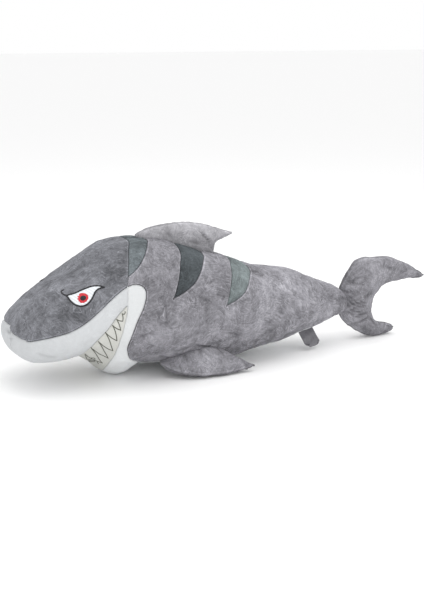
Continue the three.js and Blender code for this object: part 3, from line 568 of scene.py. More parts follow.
class Nodes:
    def __init__(s, name):
        s.mat = bpy.data.materials.new(name)
        s.mat.use_nodes = True
        s.t = s.mat.node_tree
        s.t.nodes.clear()
        s.out = s.t.nodes.new("ShaderNodeOutputMaterial")
        s.bsdf = s.t.nodes.new("ShaderNodeBsdfPrincipled")
        s.t.links.new(s.bsdf.outputs[0], s.out.inputs[0])
        s.co = s.t.nodes.new("ShaderNodeTexCoord").outputs["Object"]

    def link(s, a, b):
        s.t.links.new(a, b)

    def mapping(s, scale=(1, 1, 1), rot=(0, 0, 0), loc=(0, 0, 0)):
        m = s.t.nodes.new("ShaderNodeMapping")
        m.inputs["Scale"].default_value = scale
        m.inputs["Rotation"].default_value = rot
        m.inputs["Location"].default_value = loc
        s.link(s.co, m.inputs["Vector"])
        return m.outputs[0]

    def noise(s, scale, detail=2.0, rough=0.5, distortion=0.0, vector=None):
        n = s.t.nodes.new("ShaderNodeTexNoise")
        n.inputs["Scale"].default_value = scale
        n.inputs["Detail"].default_value = detail
        n.inputs["Roughness"].default_value = rough
        n.inputs["Distortion"].default_value = distortion
        s.link(vector or s.co, n.inputs["Vector"])
        return n.outputs["Fac"]

    def math(s, op, a, b=None, clamp=False):
        n = s.t.nodes.new("ShaderNodeMath"); n.operation = op; n.use_clamp = clamp
        for i, v in enumerate((a, b)):
            if v is None:
                continue
            if isinstance(v, (int, float)):
                n.inputs[i].default_value = v
            else:
                s.link(v, n.inputs[i])
        return n.outputs[0]

    def ramp(s, fac, stops):
        n = s.t.nodes.new("ShaderNodeValToRGB")
        e = n.color_ramp.elements
        while len(e) > 1:
            e.remove(e[-1])
        e[0].position, e[0].color = stops[0]
        for pos, col in stops[1:]:
            k = e.new(pos); k.color = col
        s.link(fac, n.inputs[0])
        return n.outputs["Color"]

    def bump(s, height, strength, distance, normal=None):
        n = s.t.nodes.new("ShaderNodeBump")
        n.inputs["Strength"].default_value = strength
        n.inputs["Distance"].default_value = distance
        s.link(height, n.inputs["Height"])
        if normal is not None:
            s.link(normal, n.inputs["Normal"])
        return n.outputs[0]


def scaled(c, k):
    return (min(1, c[0] * k), min(1, c[1] * k), min(1, c[2] * k), 1.0)


def plush(name, rgb, contrast=0.2, sheen=0.25, pile=1.0, seed=0.0, along=None, under=None, welt=0.62, crease=0.40):
    """Crushed short pile: patches where it lies another way, brushed streaks that wander, thin pale lines, a seam line
    with painted shade in its groove, painted shade in folds, and optional painted light along x (along) and towards the
    bottom (under).
    """
    n = Nodes(name)
    base = srgb(*rgb)
    moved = n.mapping(loc=(seed, seed * 0.7, -seed))
    # coordinates pushed about so that the brush strokes change direction from place to place
    warp = n.t.nodes.new("ShaderNodeTexNoise"); warp.inputs["Scale"].default_value = 9.0; warp.inputs["Detail"].default_value = 2.0
    n.link(moved, warp.inputs["Vector"])
    centred = n.t.nodes.new("ShaderNodeVectorMath"); centred.operation = "SUBTRACT"; centred.inputs[1].default_value = (0.5, 0.5, 0.5)
    n.link(warp.outputs["Color"], centred.inputs[0])
    push = n.t.nodes.new("ShaderNodeVectorMath"); push.operation = "SCALE"; push.inputs["Scale"].default_value = 0.16
    n.link(centred.outputs[0], push.inputs[0])
    added = n.t.nodes.new("ShaderNodeVectorMath"); added.operation = "ADD"
    n.link(moved, added.inputs[0]); n.link(push.outputs[0], added.inputs[1])

    def stretched(scale, rot):
        m = n.t.nodes.new("ShaderNodeMapping"); m.inputs["Scale"].default_value = scale; m.inputs["Rotation"].default_value = rot
        n.link(added.outputs[0], m.inputs["Vector"])
        return m.outputs[0]
    patch = n.noise(21, 5.0, 0.62, 0.9, moved)
    mid = n.noise(64, 5.0, 0.66, 1.6, moved)
    brush = n.noise(46, 4.0, 0.62, 0.8, stretched((1.0, 6.0, 6.0), (0.2, 0.75, 0.4)))
    brush2 = n.noise(52, 3.0, 0.62, 0.6, stretched((6.0, 1.0, 1.1), (0.5, -0.5, 0.1)))
    fine = n.noise(430, 3.0, 0.7, 0.0, moved)

    def hairline(scale, vec, width, seed2, cut):
        v = n.noise(scale, 3.2, 0.55, 1.2, vec)
        line = n.math("SUBTRACT", 1.0, n.math("MULTIPLY", n.math("ABSOLUTE", n.math("SUBTRACT", v, 0.5)), 1.0 / width), clamp=True)
        where = n.math("MULTIPLY", n.math("SUBTRACT", n.noise(scale * 0.8, 2.0, 0.5, 0.0, n.mapping(loc=(seed + seed2, 3.3, 1.1))), cut), 7.0, clamp=True)
        return n.math("MULTIPLY", line, where)
    h1 = hairline(27, moved, 0.016, 5.0, 0.50)
    h2 = hairline(44, stretched((1.0, 2.2, 2.2), (0.3, -0.4, 0.2)), 0.020, 9.0, 0.48)
    big = n.noise(8.5, 3.0, 0.55, 0.8, moved)
    mix = n.math("ADD", n.math("ADD", n.math("MULTIPLY", patch, 0.25), n.math("MULTIPLY", mid, 0.10)),
                 n.math("ADD", n.math("ADD", n.math("MULTIPLY", brush, 0.22), n.math("MULTIPLY", brush2, 0.13)), n.math("ADD", n.math("MULTIPLY", fine, 0.06), n.math("MULTIPLY", big, 0.24))))
    mix = n.math("ADD", mix, n.math("MULTIPLY", n.math("MAXIMUM", h1, h2), 0.12))
    col = n.ramp(mix, [(0.30, scaled(base, max(0.1, 1 - 2.9 * contrast))), (0.44, scaled(base, 1 - 0.95 * contrast)), (0.51, scaled(base, 1.0)),
                       (0.58, scaled(base, 1 + 1.15 * contrast)), (0.72, scaled(base, 1 + 3.2 * contrast))])
    # the seam: a dark line of painted shade in the groove of the join, a pale ridge of parted pile beside it
    at = n.t.nodes.new("ShaderNodeAttribute"); at.attribute_type = "GEOMETRY"; at.attribute_name = "seam_mm"
    d = at.outputs["Fac"]
    seam_groove_shade = n.math("SUBTRACT", 1.0, n.math("MULTIPLY", d, 1 / 1.3), clamp=True)
    pale = n.math("SUBTRACT", 1.0, n.math("MULTIPLY", n.math("ABSOLUTE", n.math("SUBTRACT", d, 2.5)), 1 / 1.5), clamp=True)
    fac = n.math("SUBTRACT", n.math("ADD", 1.0, n.math("MULTIPLY", pale, n.math("MULTIPLY", n.math("ADD", fine, mid), welt))), n.math("MULTIPLY", seam_groove_shade, crease))
    # painted shade: the cloth is darkened in the bottom of folds, where shade falls
    fold_shade_attr = n.t.nodes.new("ShaderNodeAttribute"); fold_shade_attr.attribute_type = "GEOMETRY"; fold_shade_attr.attribute_name = "fold"
    fac = n.math("MULTIPLY", fac, n.math("SUBTRACT", 1.0, n.math("MULTIPLY", fold_shade_attr.outputs["Fac"], n.math("MULTIPLY", n.math("ADD", mid, brush), 0.52))))
    # painted light: the cloth is lightened from the head towards the tail, where the light falls brighter on the rear
    # of the body
    if along is not None:
        sep = n.t.nodes.new("ShaderNodeSeparateXYZ"); n.link(n.co, sep.inputs[0])
        r = n.t.nodes.new("ShaderNodeMapRange"); r.inputs["From Min"].default_value, r.inputs["From Max"].default_value = along[0], along[1]
        r.inputs["To Min"].default_value, r.inputs["To Max"].default_value = along[2], along[3]
        n.link(sep.outputs["X"], r.inputs["Value"])
        fac = n.math("MULTIPLY", fac, r.outputs["Result"])
    if under is not None:
        # painted light: the cloth is lightened towards the bottom, where the floor shades it
        sep = n.t.nodes.new("ShaderNodeSeparateXYZ"); n.link(n.co, sep.inputs[0])
        r = n.t.nodes.new("ShaderNodeMapRange"); r.inputs["From Min"].default_value, r.inputs["From Max"].default_value = under[0], under[1]
        r.inputs["To Min"].default_value, r.inputs["To Max"].default_value = under[2], under[3]
        n.link(sep.outputs["Z"], r.inputs["Value"])
        fac = n.math("MULTIPLY", fac, r.outputs["Result"])
    sc = n.t.nodes.new("ShaderNodeVectorMath"); sc.operation = "SCALE"
    n.link(col, sc.inputs[0]); n.link(fac, sc.inputs["Scale"])
    n.link(sc.outputs[0], n.bsdf.inputs["Base Color"])
    rough = n.math("ADD", 0.80, n.math("MULTIPLY", mix, 0.2), clamp=True)
    n.link(rough, n.bsdf.inputs["Roughness"])
    n.bsdf.inputs["Specular IOR Level"].default_value = 0.12
    n.bsdf.inputs["Sheen Weight"].default_value = sheen
    n.bsdf.inputs["Sheen Roughness"].default_value = 0.4
    n.bsdf.inputs["Sheen Tint"].default_value = scaled(base, 1.7)
    b1 = n.bump(mix, 0.55 * pile, 0.006)
    b2 = n.bump(n.noise(1000, 3.0, 0.65, 0.3, moved), 0.30 * pile, 0.0010, b1)
    n.link(b2, n.bsdf.inputs["Normal"])
    return n.mat


def stitched(name, rgb, rot, pitch=1100.0, rough=0.45, sheen=0.1):
    """Satin stitch: close parallel threads."""
    n = Nodes(name)
    base = srgb(*rgb)
    w = n.t.nodes.new("ShaderNodeTexWave")
    w.wave_type = "BANDS"; w.bands_direction = "X"
    w.inputs["Scale"].default_value = pitch / 20
    w.inputs["Distortion"].default_value = 0.6
    w.inputs["Detail"].default_value = 1.0
    n.link(n.mapping(rot=rot), w.inputs["Vector"])
    f = w.outputs["Fac"]
    col = n.ramp(n.math("ADD", n.math("MULTIPLY", f, 0.5), n.math("MULTIPLY", n.noise(400, 2), 0.5)), [(0.2, scaled(base, 0.84)), (0.8, scaled(base, 1.08))])
    n.link(col, n.bsdf.inputs["Base Color"])
    n.link(n.math("ADD", rough, n.math("MULTIPLY", n.noise(300, 2), 0.2)), n.bsdf.inputs["Roughness"])
    n.bsdf.inputs["Specular IOR Level"].default_value = 0.35
    n.bsdf.inputs["Sheen Weight"].default_value = sheen
    n.link(n.bump(f, 0.5, 0.0004), n.bsdf.inputs["Normal"])
    return n.mat


def satin(name, rgb):
    n = Nodes(name)
    base = srgb(*rgb)
    warp = n.noise(1, 0, 0.5, 0, n.mapping(scale=(1500, 90, 90), rot=(0, 0.17, 0)))
    weft = n.noise(1, 0, 0.5, 0, n.mapping(scale=(90, 1500, 1500)))
    soft = n.noise(40, 2)
    mix = n.math("ADD", n.math("MULTIPLY", warp, 0.35), n.math("ADD", n.math("MULTIPLY", weft, 0.35), n.math("MULTIPLY", soft, 0.3)))
    n.link(n.ramp(mix, [(0.35, scaled(base, 0.72)), (0.65, scaled(base, 1.25))]), n.bsdf.inputs["Base Color"])
    n.link(n.math("ADD", 0.24, n.math("MULTIPLY", soft, 0.2)), n.bsdf.inputs["Roughness"])
    n.bsdf.inputs["Specular IOR Level"].default_value = 0.7
    n.bsdf.inputs["Anisotropic"].default_value = 0.5
    n.link(n.bump(mix, 0.3, 0.0004), n.bsdf.inputs["Normal"])
    return n.mat


MATS = {
    "plush_head_grey": plush("plush_head_grey", (117, 118, 123), 0.48, seed=0.31),
    # painted light: the body grey is lightened towards the tail, where the light falls brighter
    "plush_body_grey": plush("plush_body_grey", (129, 128, 133), 0.49, seed=1.7, along=(-0.25, 0.27, 0.92, 1.24)),
    "plush_stripe_mid": plush("plush_stripe_mid", (98, 104, 107), 0.44, seed=2.3, welt=0.12, crease=0.3),
    "plush_stripe_dark": plush("plush_stripe_dark", (76, 81, 84), 0.38, seed=3.1, welt=0.12, crease=0.3),
    "plush_stripe_light": plush("plush_stripe_light", (119, 127, 128), 0.36, seed=4.2, welt=0.12, crease=0.3),
    "plush_white": plush("plush_white", (198, 200, 202), 0.045, sheen=0.12, pile=0.8, seed=5.2, welt=0.03, crease=0.12),
    "plush_cream": plush("plush_cream", (202, 202, 197), 0.06, sheen=0.12, pile=0.7, seed=6.6, welt=0.03, crease=0.15),
    "plush_fin_grey": plush("plush_fin_grey", (133, 132, 137), 0.44, seed=7.7, welt=0.2, crease=0.35),
    # painted light: a lighter copy of plush_fin_grey for the dorsal fin, standing for the light falling on the top of
    # the fish
    "plush_fin_grey_painted_toplight": plush("plush_fin_grey_painted_toplight", (157, 156, 160), 0.30, seed=9.4, welt=0.15, crease=0.3),
    # painted light: a lighter copy of plush_white for the lower lip and jaw, lightened further towards the bottom where
    # the floor shades it
    "plush_white_bright": plush("plush_white_bright", (211, 213, 214), 0.035, under=(0.01, 0.09, 1.2, 1.0), sheen=0.12, pile=0.8, seed=8.2, welt=0.03, crease=0.08),
    "embroidery_white": stitched("embroidery_white", (228, 232, 236), (0, 0.9, 0)),
    "embroidery_red": stitched("embroidery_red", (200, 40, 52), (0, 0.3, 0)),
    "embroidery_black": stitched("embroidery_black", (26, 26, 31), (0, 0.0, 0)),
    "thread_olive": stitched("thread_olive", (92, 93, 84), (0, 0.6, 0), rough=0.6),
    "label_satin": satin("label_satin", (104, 103, 108)),
}


def finish_piece(o, slot, body, nodes, look=None):
    o.data.materials.clear()
    o.data.materials.append(MATS[look or slot])
    if nodes:
        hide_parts(*nodes)
    if body:
        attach(o, body)
    return o


L, R, B = (-1,), (1,), (-1, 1)
for name, seeds, sides, slot, node in [
    ("head_left", [(-400, 170)], L, "plush_head_grey", "head_panel_left"), ("head_right", [(-400, 170)], R, "plush_head_grey", "head_panel_right"),
    ("upper_lip_left", [(-400, 100)], L, "plush_white", "upper_lip_panel_left"), ("upper_lip_right", [(-400, 100)], R, "plush_white", "upper_lip_panel_right"),
    ("lower_lip", [(-240, 170)], B, "plush_white", "lower_lip_panel"), ("tooth_cloth", [(-290, 110)], B, "plush_cream", "tooth_panel"),
    ("stripe1_left", [(-200, 278)], L, "plush_stripe_mid", "stripe1_panel_left"), ("stripe1_right", [(-200, 278)], R, "plush_stripe_mid", "stripe1_panel_right"),
    ("stripe2_left", [(-96, 240)], L, "plush_stripe_dark", "stripe2_panel_left"), ("stripe2_right", [(-96, 240)], R, "plush_stripe_dark", "stripe2_panel_right"),
    ("stripe3_left", [(30, 205)], L, "plush_stripe_light", "stripe3_panel_left"), ("stripe3_right", [(30, 205)], R, "plush_stripe_light", "stripe3_panel_right"),
    ("flank_left", [(60, 110)], L, "plush_body_grey", "body_panel_left"), ("flank_right", [(60, 110)], R, "plush_body_grey", "body_panel_right"),
    ("belly", [(-20, 12)], B, "plush_white", "belly_panel"),
]:
    o = panel(name, seeds, sides, slot)
    # the lower lip wears a lighter copy of its white, with painted light on the cheek and jaw
    finish_piece(o, slot, "trunk", [node] + (["body_stuffing"] if name == "belly" else []), look="plush_white_bright" if name == "lower_lip" else None)

used_cells = {cell_at(*s) for s in [(-400, 170), (-400, 100), (-240, 170), (-290, 110), (-200, 278), (-96, 240), (30, 205), (60, 110), (-20, 12)]}
print("trunk cells", len(CELLS), "named", len(used_cells), "sizes", sorted(len(c) for c in CELLS))


# ------------------------------------------------------------------ fins
def smooth_rows(rows, n):
    """Rows of numbers spread evenly along their chord on a monotone cubic, closer at the two ends."""
    r = np.array(rows, float)
    s = np.concatenate([[0], np.cumsum(np.linalg.norm(np.diff((r[:, 0:3] + r[:, 3:6]) / 2, axis=0), axis=1) + 0.6 * np.abs(np.diff(r[:, 6])) + 0.25 * np.linalg.norm(np.diff(r[:, 0:3] - r[:, 3:6], axis=0), axis=1))])
    f = [Pchip(s, r[:, j]) for j in range(r.shape[1])]
    u = np.linspace(0, 1, n)
    u = 0.5 - 0.5 * np.cos(math.pi * u) * (0.35 + 0.0 * u) - (0.5 - u) * 0.65 + 0.0 if False else u + 0.0
    g = s[-1] * (0.72 * u + 0.28 * (0.5 - 0.5 * np.cos(math.pi * u)))
    return np.stack([q(g) for q in f], -1)


def fin_halves(name, rows, n_st, n_ar, lumps, warp=None, edge=2.0, pucker=0.8, seed=0.0, fold=None, root_seam=False):
    """Two crowned sheets of fabric meeting on a seam, for stations of outer edge, inner edge, half thickness and normal."""
    r = smooth_rows(rows, n_st)
    out = []
    for sg in (-1, 1):
        verts, faces, dist, fold_shade = [], [], [], []
        grid = []
        for i in range(n_st):
            a, b, h, nn = r[i, 0:3], r[i, 3:6], max(r[i, 6], 0.0), r[i, 7:10]
            nn = nn / max(np.linalg.norm(nn), 1e-9)
            mid, half = (a + b) / 2, (a - b) / 2
            ln = np.linalg.norm(half)
            row = []
            for j in range(n_ar + 1):
                th = math.pi * j / n_ar
                c, s = math.cos(th), math.sin(th)
                p = mid + half * c
                d_edge = ln * (1 - abs(c))                      # distance to the nearer edge
                d_out = ln * (1 - c)
                k = s ** 0.86 if s > 1e-9 else 0.0
                q = h * k
                w = min(1.0, h / 10.0)
                v = Vector(p * 1.0)
                swell = lumps * (noise.noise(v / 42 + Vector((seed, sg * 3.3, 0))) + 0.55 * noise.noise(v / 17 + Vector((0, seed, sg * 1.7))))
                q += swell * k * w
                # the seam: the cloth turns in beside it, and puckers run off it
                de = d_out if not root_seam else d_edge
                dist.append(max(de * (1.0 if s > 1e-9 else 0.0), 0.0) if h > 0 else 0.0)
                q -= w * edge * 0.55 * math.exp(-((de - 1.8) / 2.6) ** 2) * (1 if s > 1e-9 else 0)
                q += w * pucker * math.exp(-((de - 7) / 7.5) ** 2) * noise.noise(v / 5.2 + Vector((seed, 2.2, sg * 5.0)))
                if fold is not None:
                    fv = fold(p, sg, k)
                    q += fv * w
                    # fold depth, for the painted shade in the fin's creases
                    fold_shade.append(min(1.0, max(0.0, -fv) / 2.6))
                else:
                    fold_shade.append(0.0)
                q = max(q, 0.25 * s) if h > 0 else 0.0
                pt = p + nn * sg * q
                row.append(pt)
            grid.append(row)
        for i in range(n_st):
            for j in range(n_ar + 1):
                pt = grid[i][j]
                if warp is not None:
                    pt = warp(pt)
                verts.append(world(pt))
        m = n_ar + 1
        for i in range(n_st - 1):
            for j in range(n_ar):
                f = [i * m + j, i * m + j + 1, (i + 1) * m + j + 1, (i + 1) * m + j]
                faces.append(f if sg > 0 else f[::-1])
        o = mesh_object(name[0] if sg < 0 else name[1], verts, faces)
        store(o, "seam_mm", dist)
        store(o, "fold", fold_shade)
        tidy(o, 3e-5, np.mean(np.array(verts), 0))
        out.append(o)
    return out


YN = (0.0, 1.0, 0.0)


def dorsal_rows():
    rows = []
    for x, lo, hi, h in DORSAL:
        back = float(FT(t_at(x)))
        # the root runs down into the seam in the back; the rear lobe hangs free
        base = (back - 3.0 - 11.0 * min(1.0, h / 14.0)) if lo is None else (lo - 3.0 * min(1.0, max(0.0, (12.0 - x) / 9.0)))
        if h == 0:
            base = hi
        rows.append([x, 0, hi, x, 0, base, h, *YN])
    return rows


def dorsal_fold(p, sg, k):
    # a crease runs down behind the middle, and the cloth gathers in a soft roll at the rear of the root
    x, z = p[0], p[2]
    d = abs((x + 24) - 0.85 * (282 - z))
    v = -3.4 * math.exp(-(d / 4.0) ** 2) * math.exp(-((z - 282) / 14) ** 2)
    v += 1.5 * math.exp(-((d - 8) / 6) ** 2) * math.exp(-((z - 280) / 14) ** 2)
    v += -2.2 * math.exp(-((z - (277 - 0.22 * (x + 67))) / 3.6) ** 2) * math.exp(-((x + 48) / 16) ** 2)
    v += -1.8 * math.exp(-((z - (259 - 0.9 * (x + 10))) / 3.6) ** 2) * math.exp(-((x + 12) / 9) ** 2)
    v += -1.5 * math.exp(-(((x + 112) + 0.8 * (z - 296)) / 6) ** 2) * math.exp(-((z - 292) / 9) ** 2)
    return v


def billow(pair, held, pressure=4.0, slack=0.03, cap=2.6, steps=20):
    """Fills a fin: cloth simulation of its two sewn sheets as one closed skin, held along the seams and at the root, with a little more cloth than the outline needs."""
    keys, verts, faces, index = {}, [], [], []
    for o in pair:
        m = []
        for v in o.data.vertices:
            k = tuple(round(c, 5) for c in v.co)
            if k not in keys:
                keys[k] = len(verts)
                verts.append(tuple(v.co))
            m.append(keys[k])
        index.append(m)
        for f in o.data.polygons:
            g = list(dict.fromkeys(m[i] for i in f.vertices))
            if len(g) > 2:
                faces.append(g)
    seam = set(index[0]) & set(index[1])
    skin = mesh_object("skin_for_cloth", verts, faces)
    group = skin.vertex_groups.new(name="held")
    for i, v in enumerate(verts):
        w = 1.0 if i in seam else float(min(1.0, max(0.0, held(np.array(v) * 1000 - SHIFT))))
        group.add([i], w, "REPLACE")
    m = skin.modifiers.new("cloth", "CLOTH")
    st = m.settings
    st.quality = 6
    st.mass = 0.02
    st.tension_stiffness = st.compression_stiffness = 12.0
    st.shear_stiffness = 4.0
    st.bending_stiffness = 0.6
    st.air_damping = 2.0
    st.use_pressure = True
    st.uniform_pressure_force = pressure
    st.shrink_min = -slack
    st.vertex_group_mass = "held"
    st.pin_stiffness = 1.0
    st.effector_weights.gravity = 0.0
    m.collision_settings.use_collision = False
    m.collision_settings.use_self_collision = False
    m.point_cache.frame_start, m.point_cache.frame_end = 1, steps
    sc = bpy.context.scene
    sc.frame_start, sc.frame_end = 1, steps
    for f in range(1, steps + 1):
        sc.frame_set(f)
    e = skin.evaluated_get(bpy.context.evaluated_depsgraph_get())
    new = np.zeros(len(verts) * 3, np.float32)
    e.data.vertices.foreach_get("co", new)
    old = np.array(verts)
    move = (new.reshape(-1, 3) - old) * 1000
    near = [[] for _ in verts]
    for a, b in ((ed.vertices[0], ed.vertices[1]) for ed in skin.data.edges):
        near[a].append(b); near[b].append(a)
    for _ in range(2):
        move = np.array([0.5 * move[i] + 0.5 * move[near[i]].mean(0) if near[i] else move[i] for i in range(len(verts))])
    size = np.linalg.norm(move, axis=1)
    print("cloth", pair[0].name, "moves mm: mean", round(float(size.mean()), 2), "max", round(float(size.max()), 2), "finite", bool(np.isfinite(size).all()))
    move *= (cap * np.tanh(size / cap) / np.maximum(size, 1e-9))[:, None]
    move[sorted(seam)] = 0.0
    for o, ix in zip(pair, index):
        for v, i in zip(o.data.vertices, ix):
            v.co = Vector(old[i] + move[i] / 1000)
            v.co.z = max(v.co.z, 0.0008)
        o.data.update()
    bpy.data.objects.remove(skin, do_unlink=True)
    sc.frame_set(1)


NS, NA = ((72, 26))
fins = {}
fins["dorsal"] = fin_halves(("dorsal_fin_cloth_left", "dorsal_fin_cloth_right"), dorsal_rows(), NS, NA, 2.2, seed=1.3, fold=dorsal_fold)


billow(fins["dorsal"], lambda q: 1 - (q[2] - float(FT(t_at(q[0]))) - 5) / 12)


def stock_half(x):
    return float(FW(t_at(min(x, 353.5))))


def tail_rows():
    return [[ox, 0, oz + 0.4, ix, 0, iz, h, *YN] for ox, oz, ix, iz, h in TAIL]


TAIL_ROOT = (336.0, 103.0)


TAIL_FOLDS = [([(330, 80), (350, 91), (378, 95), (398, 93)], 4.0, 3.3), ([(345, 73), (371, 85), (398, 86)], 3.7, 3.1), ([(358, 58), (379, 66), (402, 70)], 3.7, 3.1),
    ([(366, 48), (386, 53), (405, 61)], 3.1, 3.1), ([(334, 98), (346, 108), (360, 112)], 3.4, 3.1), ([(405, 59), (418, 44), (428, 37)], 2.8, 3.3),
    ([(334, 128), (345, 124), (362, 126)], 2.8, 3.5), ([(384, 102), (398, 112), (415, 120)], 2.5, 4.1), ([(352, 70), (372, 74), (392, 78)], 2.8, 2.9),
    ([(337, 88), (356, 100), (376, 103)], 3.1, 2.9), ([(340, 142), (356, 146), (372, 156)], 2.2, 4.1), ([(440, 178), (462, 170), (486, 168)], 1.9, 5.5)]
_tf = [(np.array(catmull(l, 1.5)), d, w) for l, d, w in TAIL_FOLDS]
_tk = KDTree(sum(len(l) for l, d, w in _tf)); _ti = []
for l, d, w in _tf:
    for i, q in enumerate(l):
        _tk.insert((q[0], 0, q[1]), len(_ti)); _ti.append((d * math.sin(math.pi * (i + 0.5) / len(l)) ** 0.6, w))
_tk.balance()


def tail_fold(p, sg, k):
    # folds that fan out from the narrow of the tail
    v = 0.0
    for _, j, r in _tk.find_n(Vector((p[0], 0, p[2])), 1):
        d, w = _ti[j]
        v += -d * math.exp(-(r / w) ** 2) + 0.45 * d * math.exp(-((r - 1.6 * w) / w) ** 2)
    return v


fins["tail"] = fin_halves(("tail_fin_cloth_left", "tail_fin_cloth_right"), tail_rows(), int(NS * 1.6), NA, 2.6, seed=4.4, fold=tail_fold, root_seam=True)
billow(fins["tail"], lambda q: 1 - (q[0] - 346) / 18)


def flank_point(x, z):
    t = float(t_at(x))
    th = float(theta_of(np.array(t), np.array(float(z))))
    return surf(np.array([t]), np.array([th]))[0], normals(np.array([t]), np.array([th]))[0]


def pec_rows():
    rows = []
    for s in PECTORAL:
        if "r" in s:
            r = np.array(s["r"], float)
        else:
            q, n = flank_point(s["x"], s["z"])
            r = q - n * 2.0                      # sewn into the seam, so it starts just inside the flank
        e = np.array(s["e"], float)
        d = e - r
        n = np.cross((1, 0, 0), d) if d @ d > 1 else np.array((0, 0, 1.0))
        n = n / np.linalg.norm(n)
        if n[2] < 0:
            n = -n
        rows.append([*e, *r, s["a"], *n])
    return rows


def pec_fold(p, sg, k):
    if sg < 0:
        return 0.0
    v = -2.4 * math.exp(-(((p[0] + 42) + 0.9 * (p[1] + 120)) / 4.5) ** 2) * math.exp(-((p[1] + 112) / 12) ** 2)
    v += -1.8 * math.exp(-(((p[0] + 92) - 0.5 * (p[1] + 115)) / 5.0) ** 2) * math.exp(-((p[1] + 112) / 10) ** 2)
    v += -1.4 * math.exp(-(((p[0] - 6) + 0.8 * (p[1] + 130)) / 4.5) ** 2)
    return v


def pec_floor(p):
    q = np.array(p, float)
    lo = FLOOR + 0.8
    if q[2] < lo + 4:
        q[2] = lo + 4 * math.exp((q[2] - lo - 4) / 4) if q[2] < lo + 4 else q[2]
    return q


fins["pec_left"] = fin_halves(("pectoral_under_left", "pectoral_top_left"), pec_rows(), NS, NA, 1.8, seed=8.1, fold=pec_fold, warp=pec_floor)
billow(fins["pec_left"], lambda q: 1 - (-q[1] - 114) / 14)
fins["pec_right"] = []
for o in fins["pec_left"]:
    c = o.copy(); c.data = o.data.copy(); c.name = o.name.replace("_left", "_right")
    bpy.context.scene.collection.objects.link(c)
    c.data.transform(Matrix.Scale(-1, 4, (0, 1, 0))); c.data.flip_normals()
    fins["pec_right"].append(c)

for group in fins.values():
    for o in group:
        shell(o)

# the dorsal fin wears a lighter copy of its grey: painted light from above
for o, n, extra in ((fins["dorsal"][0], "dorsal_fin_left", ["dorsal_fin_stuffing"]), (fins["dorsal"][1], "dorsal_fin_right", [])):
    finish_piece(o, "plush_fin_grey", None, [n] + extra, look="plush_fin_grey_painted_toplight")
    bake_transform(o)
for o, n, extra in ((fins["tail"][0], "tail_fin_left", ["tail_fin_stuffing"]), (fins["tail"][1], "tail_fin_right", [])):
    finish_piece(o, "plush_fin_grey", None, [n] + extra)
    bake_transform(o)
for side, sy in (("left", 1), ("right", -1)):
    for o, n, extra in ((fins["pec_" + side][0], "pectoral_fin_lower_" + side, ["pectoral_fin_stuffing_" + side]), (fins["pec_" + side][1], "pectoral_fin_upper_" + side, [])):
        finish_piece(o, "plush_fin_grey", None, [n] + extra)
        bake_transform(o)


# ------------------------------------------------------------------ eyes
def outline_param(line, side):
    q = catmull(line, 1.0) if len(line) > 2 else np.array(line, float)
    t = t_at(q[:, 0])
    return t, theta_of(t, q[:, 1], right=side > 0)


def patch(name, poly_xz, side, base, dome, rim, step=1.3):
    """A filled shape in the side view, raised off the fabric: base at its rim, more by dome inside."""
    q = np.array(poly_xz, float)
    if np.linalg.norm(q[0] - q[-1]) < 0.3:
        q = q[:-1]
    n = len(q)
    lo, hi = q.min(0), q.max(0)
    pts = [tuple(p) for p in q]
    gx = np.arange(lo[0], hi[0], step)
    kd = KDTree(n)
    for i, p in enumerate(q):
        kd.insert((p[0], p[1], 0), i)
    kd.balance()
    for i, x in enumerate(gx):
        for z in np.arange(lo[1] + (step / 2 if i % 2 else 0), hi[1], step):
            # inside test
            c = False
            j = n - 1
            for k in range(n):
                if (q[k, 1] > z) != (q[j, 1] > z) and x < (q[j, 0] - q[k, 0]) * (z - q[k, 1]) / (q[j, 1] - q[k, 1]) + q[k, 0]:
                    c = not c
                j = k
            if c and kd.find((x, z, 0))[2] > 0.45 * step:
                pts.append((x, z))
    res = delaunay_2d_cdt([Vector(p) for p in pts], [(i, (i + 1) % n) for i in range(n)], [], 1, 1e-4)
    v = np.array([tuple(p) for p in res[0]])
    d = np.array([kd.find((p[0], p[1], 0))[2] for p in v])
    off = base + dome * (1 - np.exp(-(d / rim) ** 2)) + 0.12 * np.array([noise.noise(Vector((p[0], p[1], 4)) * 0.9) for p in v])
    t = t_at(v[:, 0]); th = theta_of(t, v[:, 1], right=side > 0)
    w, _ = place(t, th, 0)
    nn = normals(t, th)
    top = w + nn * off[:, None] / 1000
    under = w - nn * 0.0008
    k = len(v)
    faces = [tuple(f) for f in res[2]]
    # rim wall
    cnt = {}
    for f in faces:
        for a, b in zip(f, f[1:] + f[:1]):
            cnt[(a, b)] = 1
    wall = [(a, b) for (a, b) in cnt if (b, a) not in cnt]
    allf = list(faces) + [tuple(i + k for i in reversed(f)) for f in faces] + [(b, a, a + k, b + k) for a, b in wall]
    o = mesh_object(name, np.vstack([top, under]), allf)
    tidy(o, 1e-6)
    return o


def closed_line(line, step):
    return catmull(line, step)


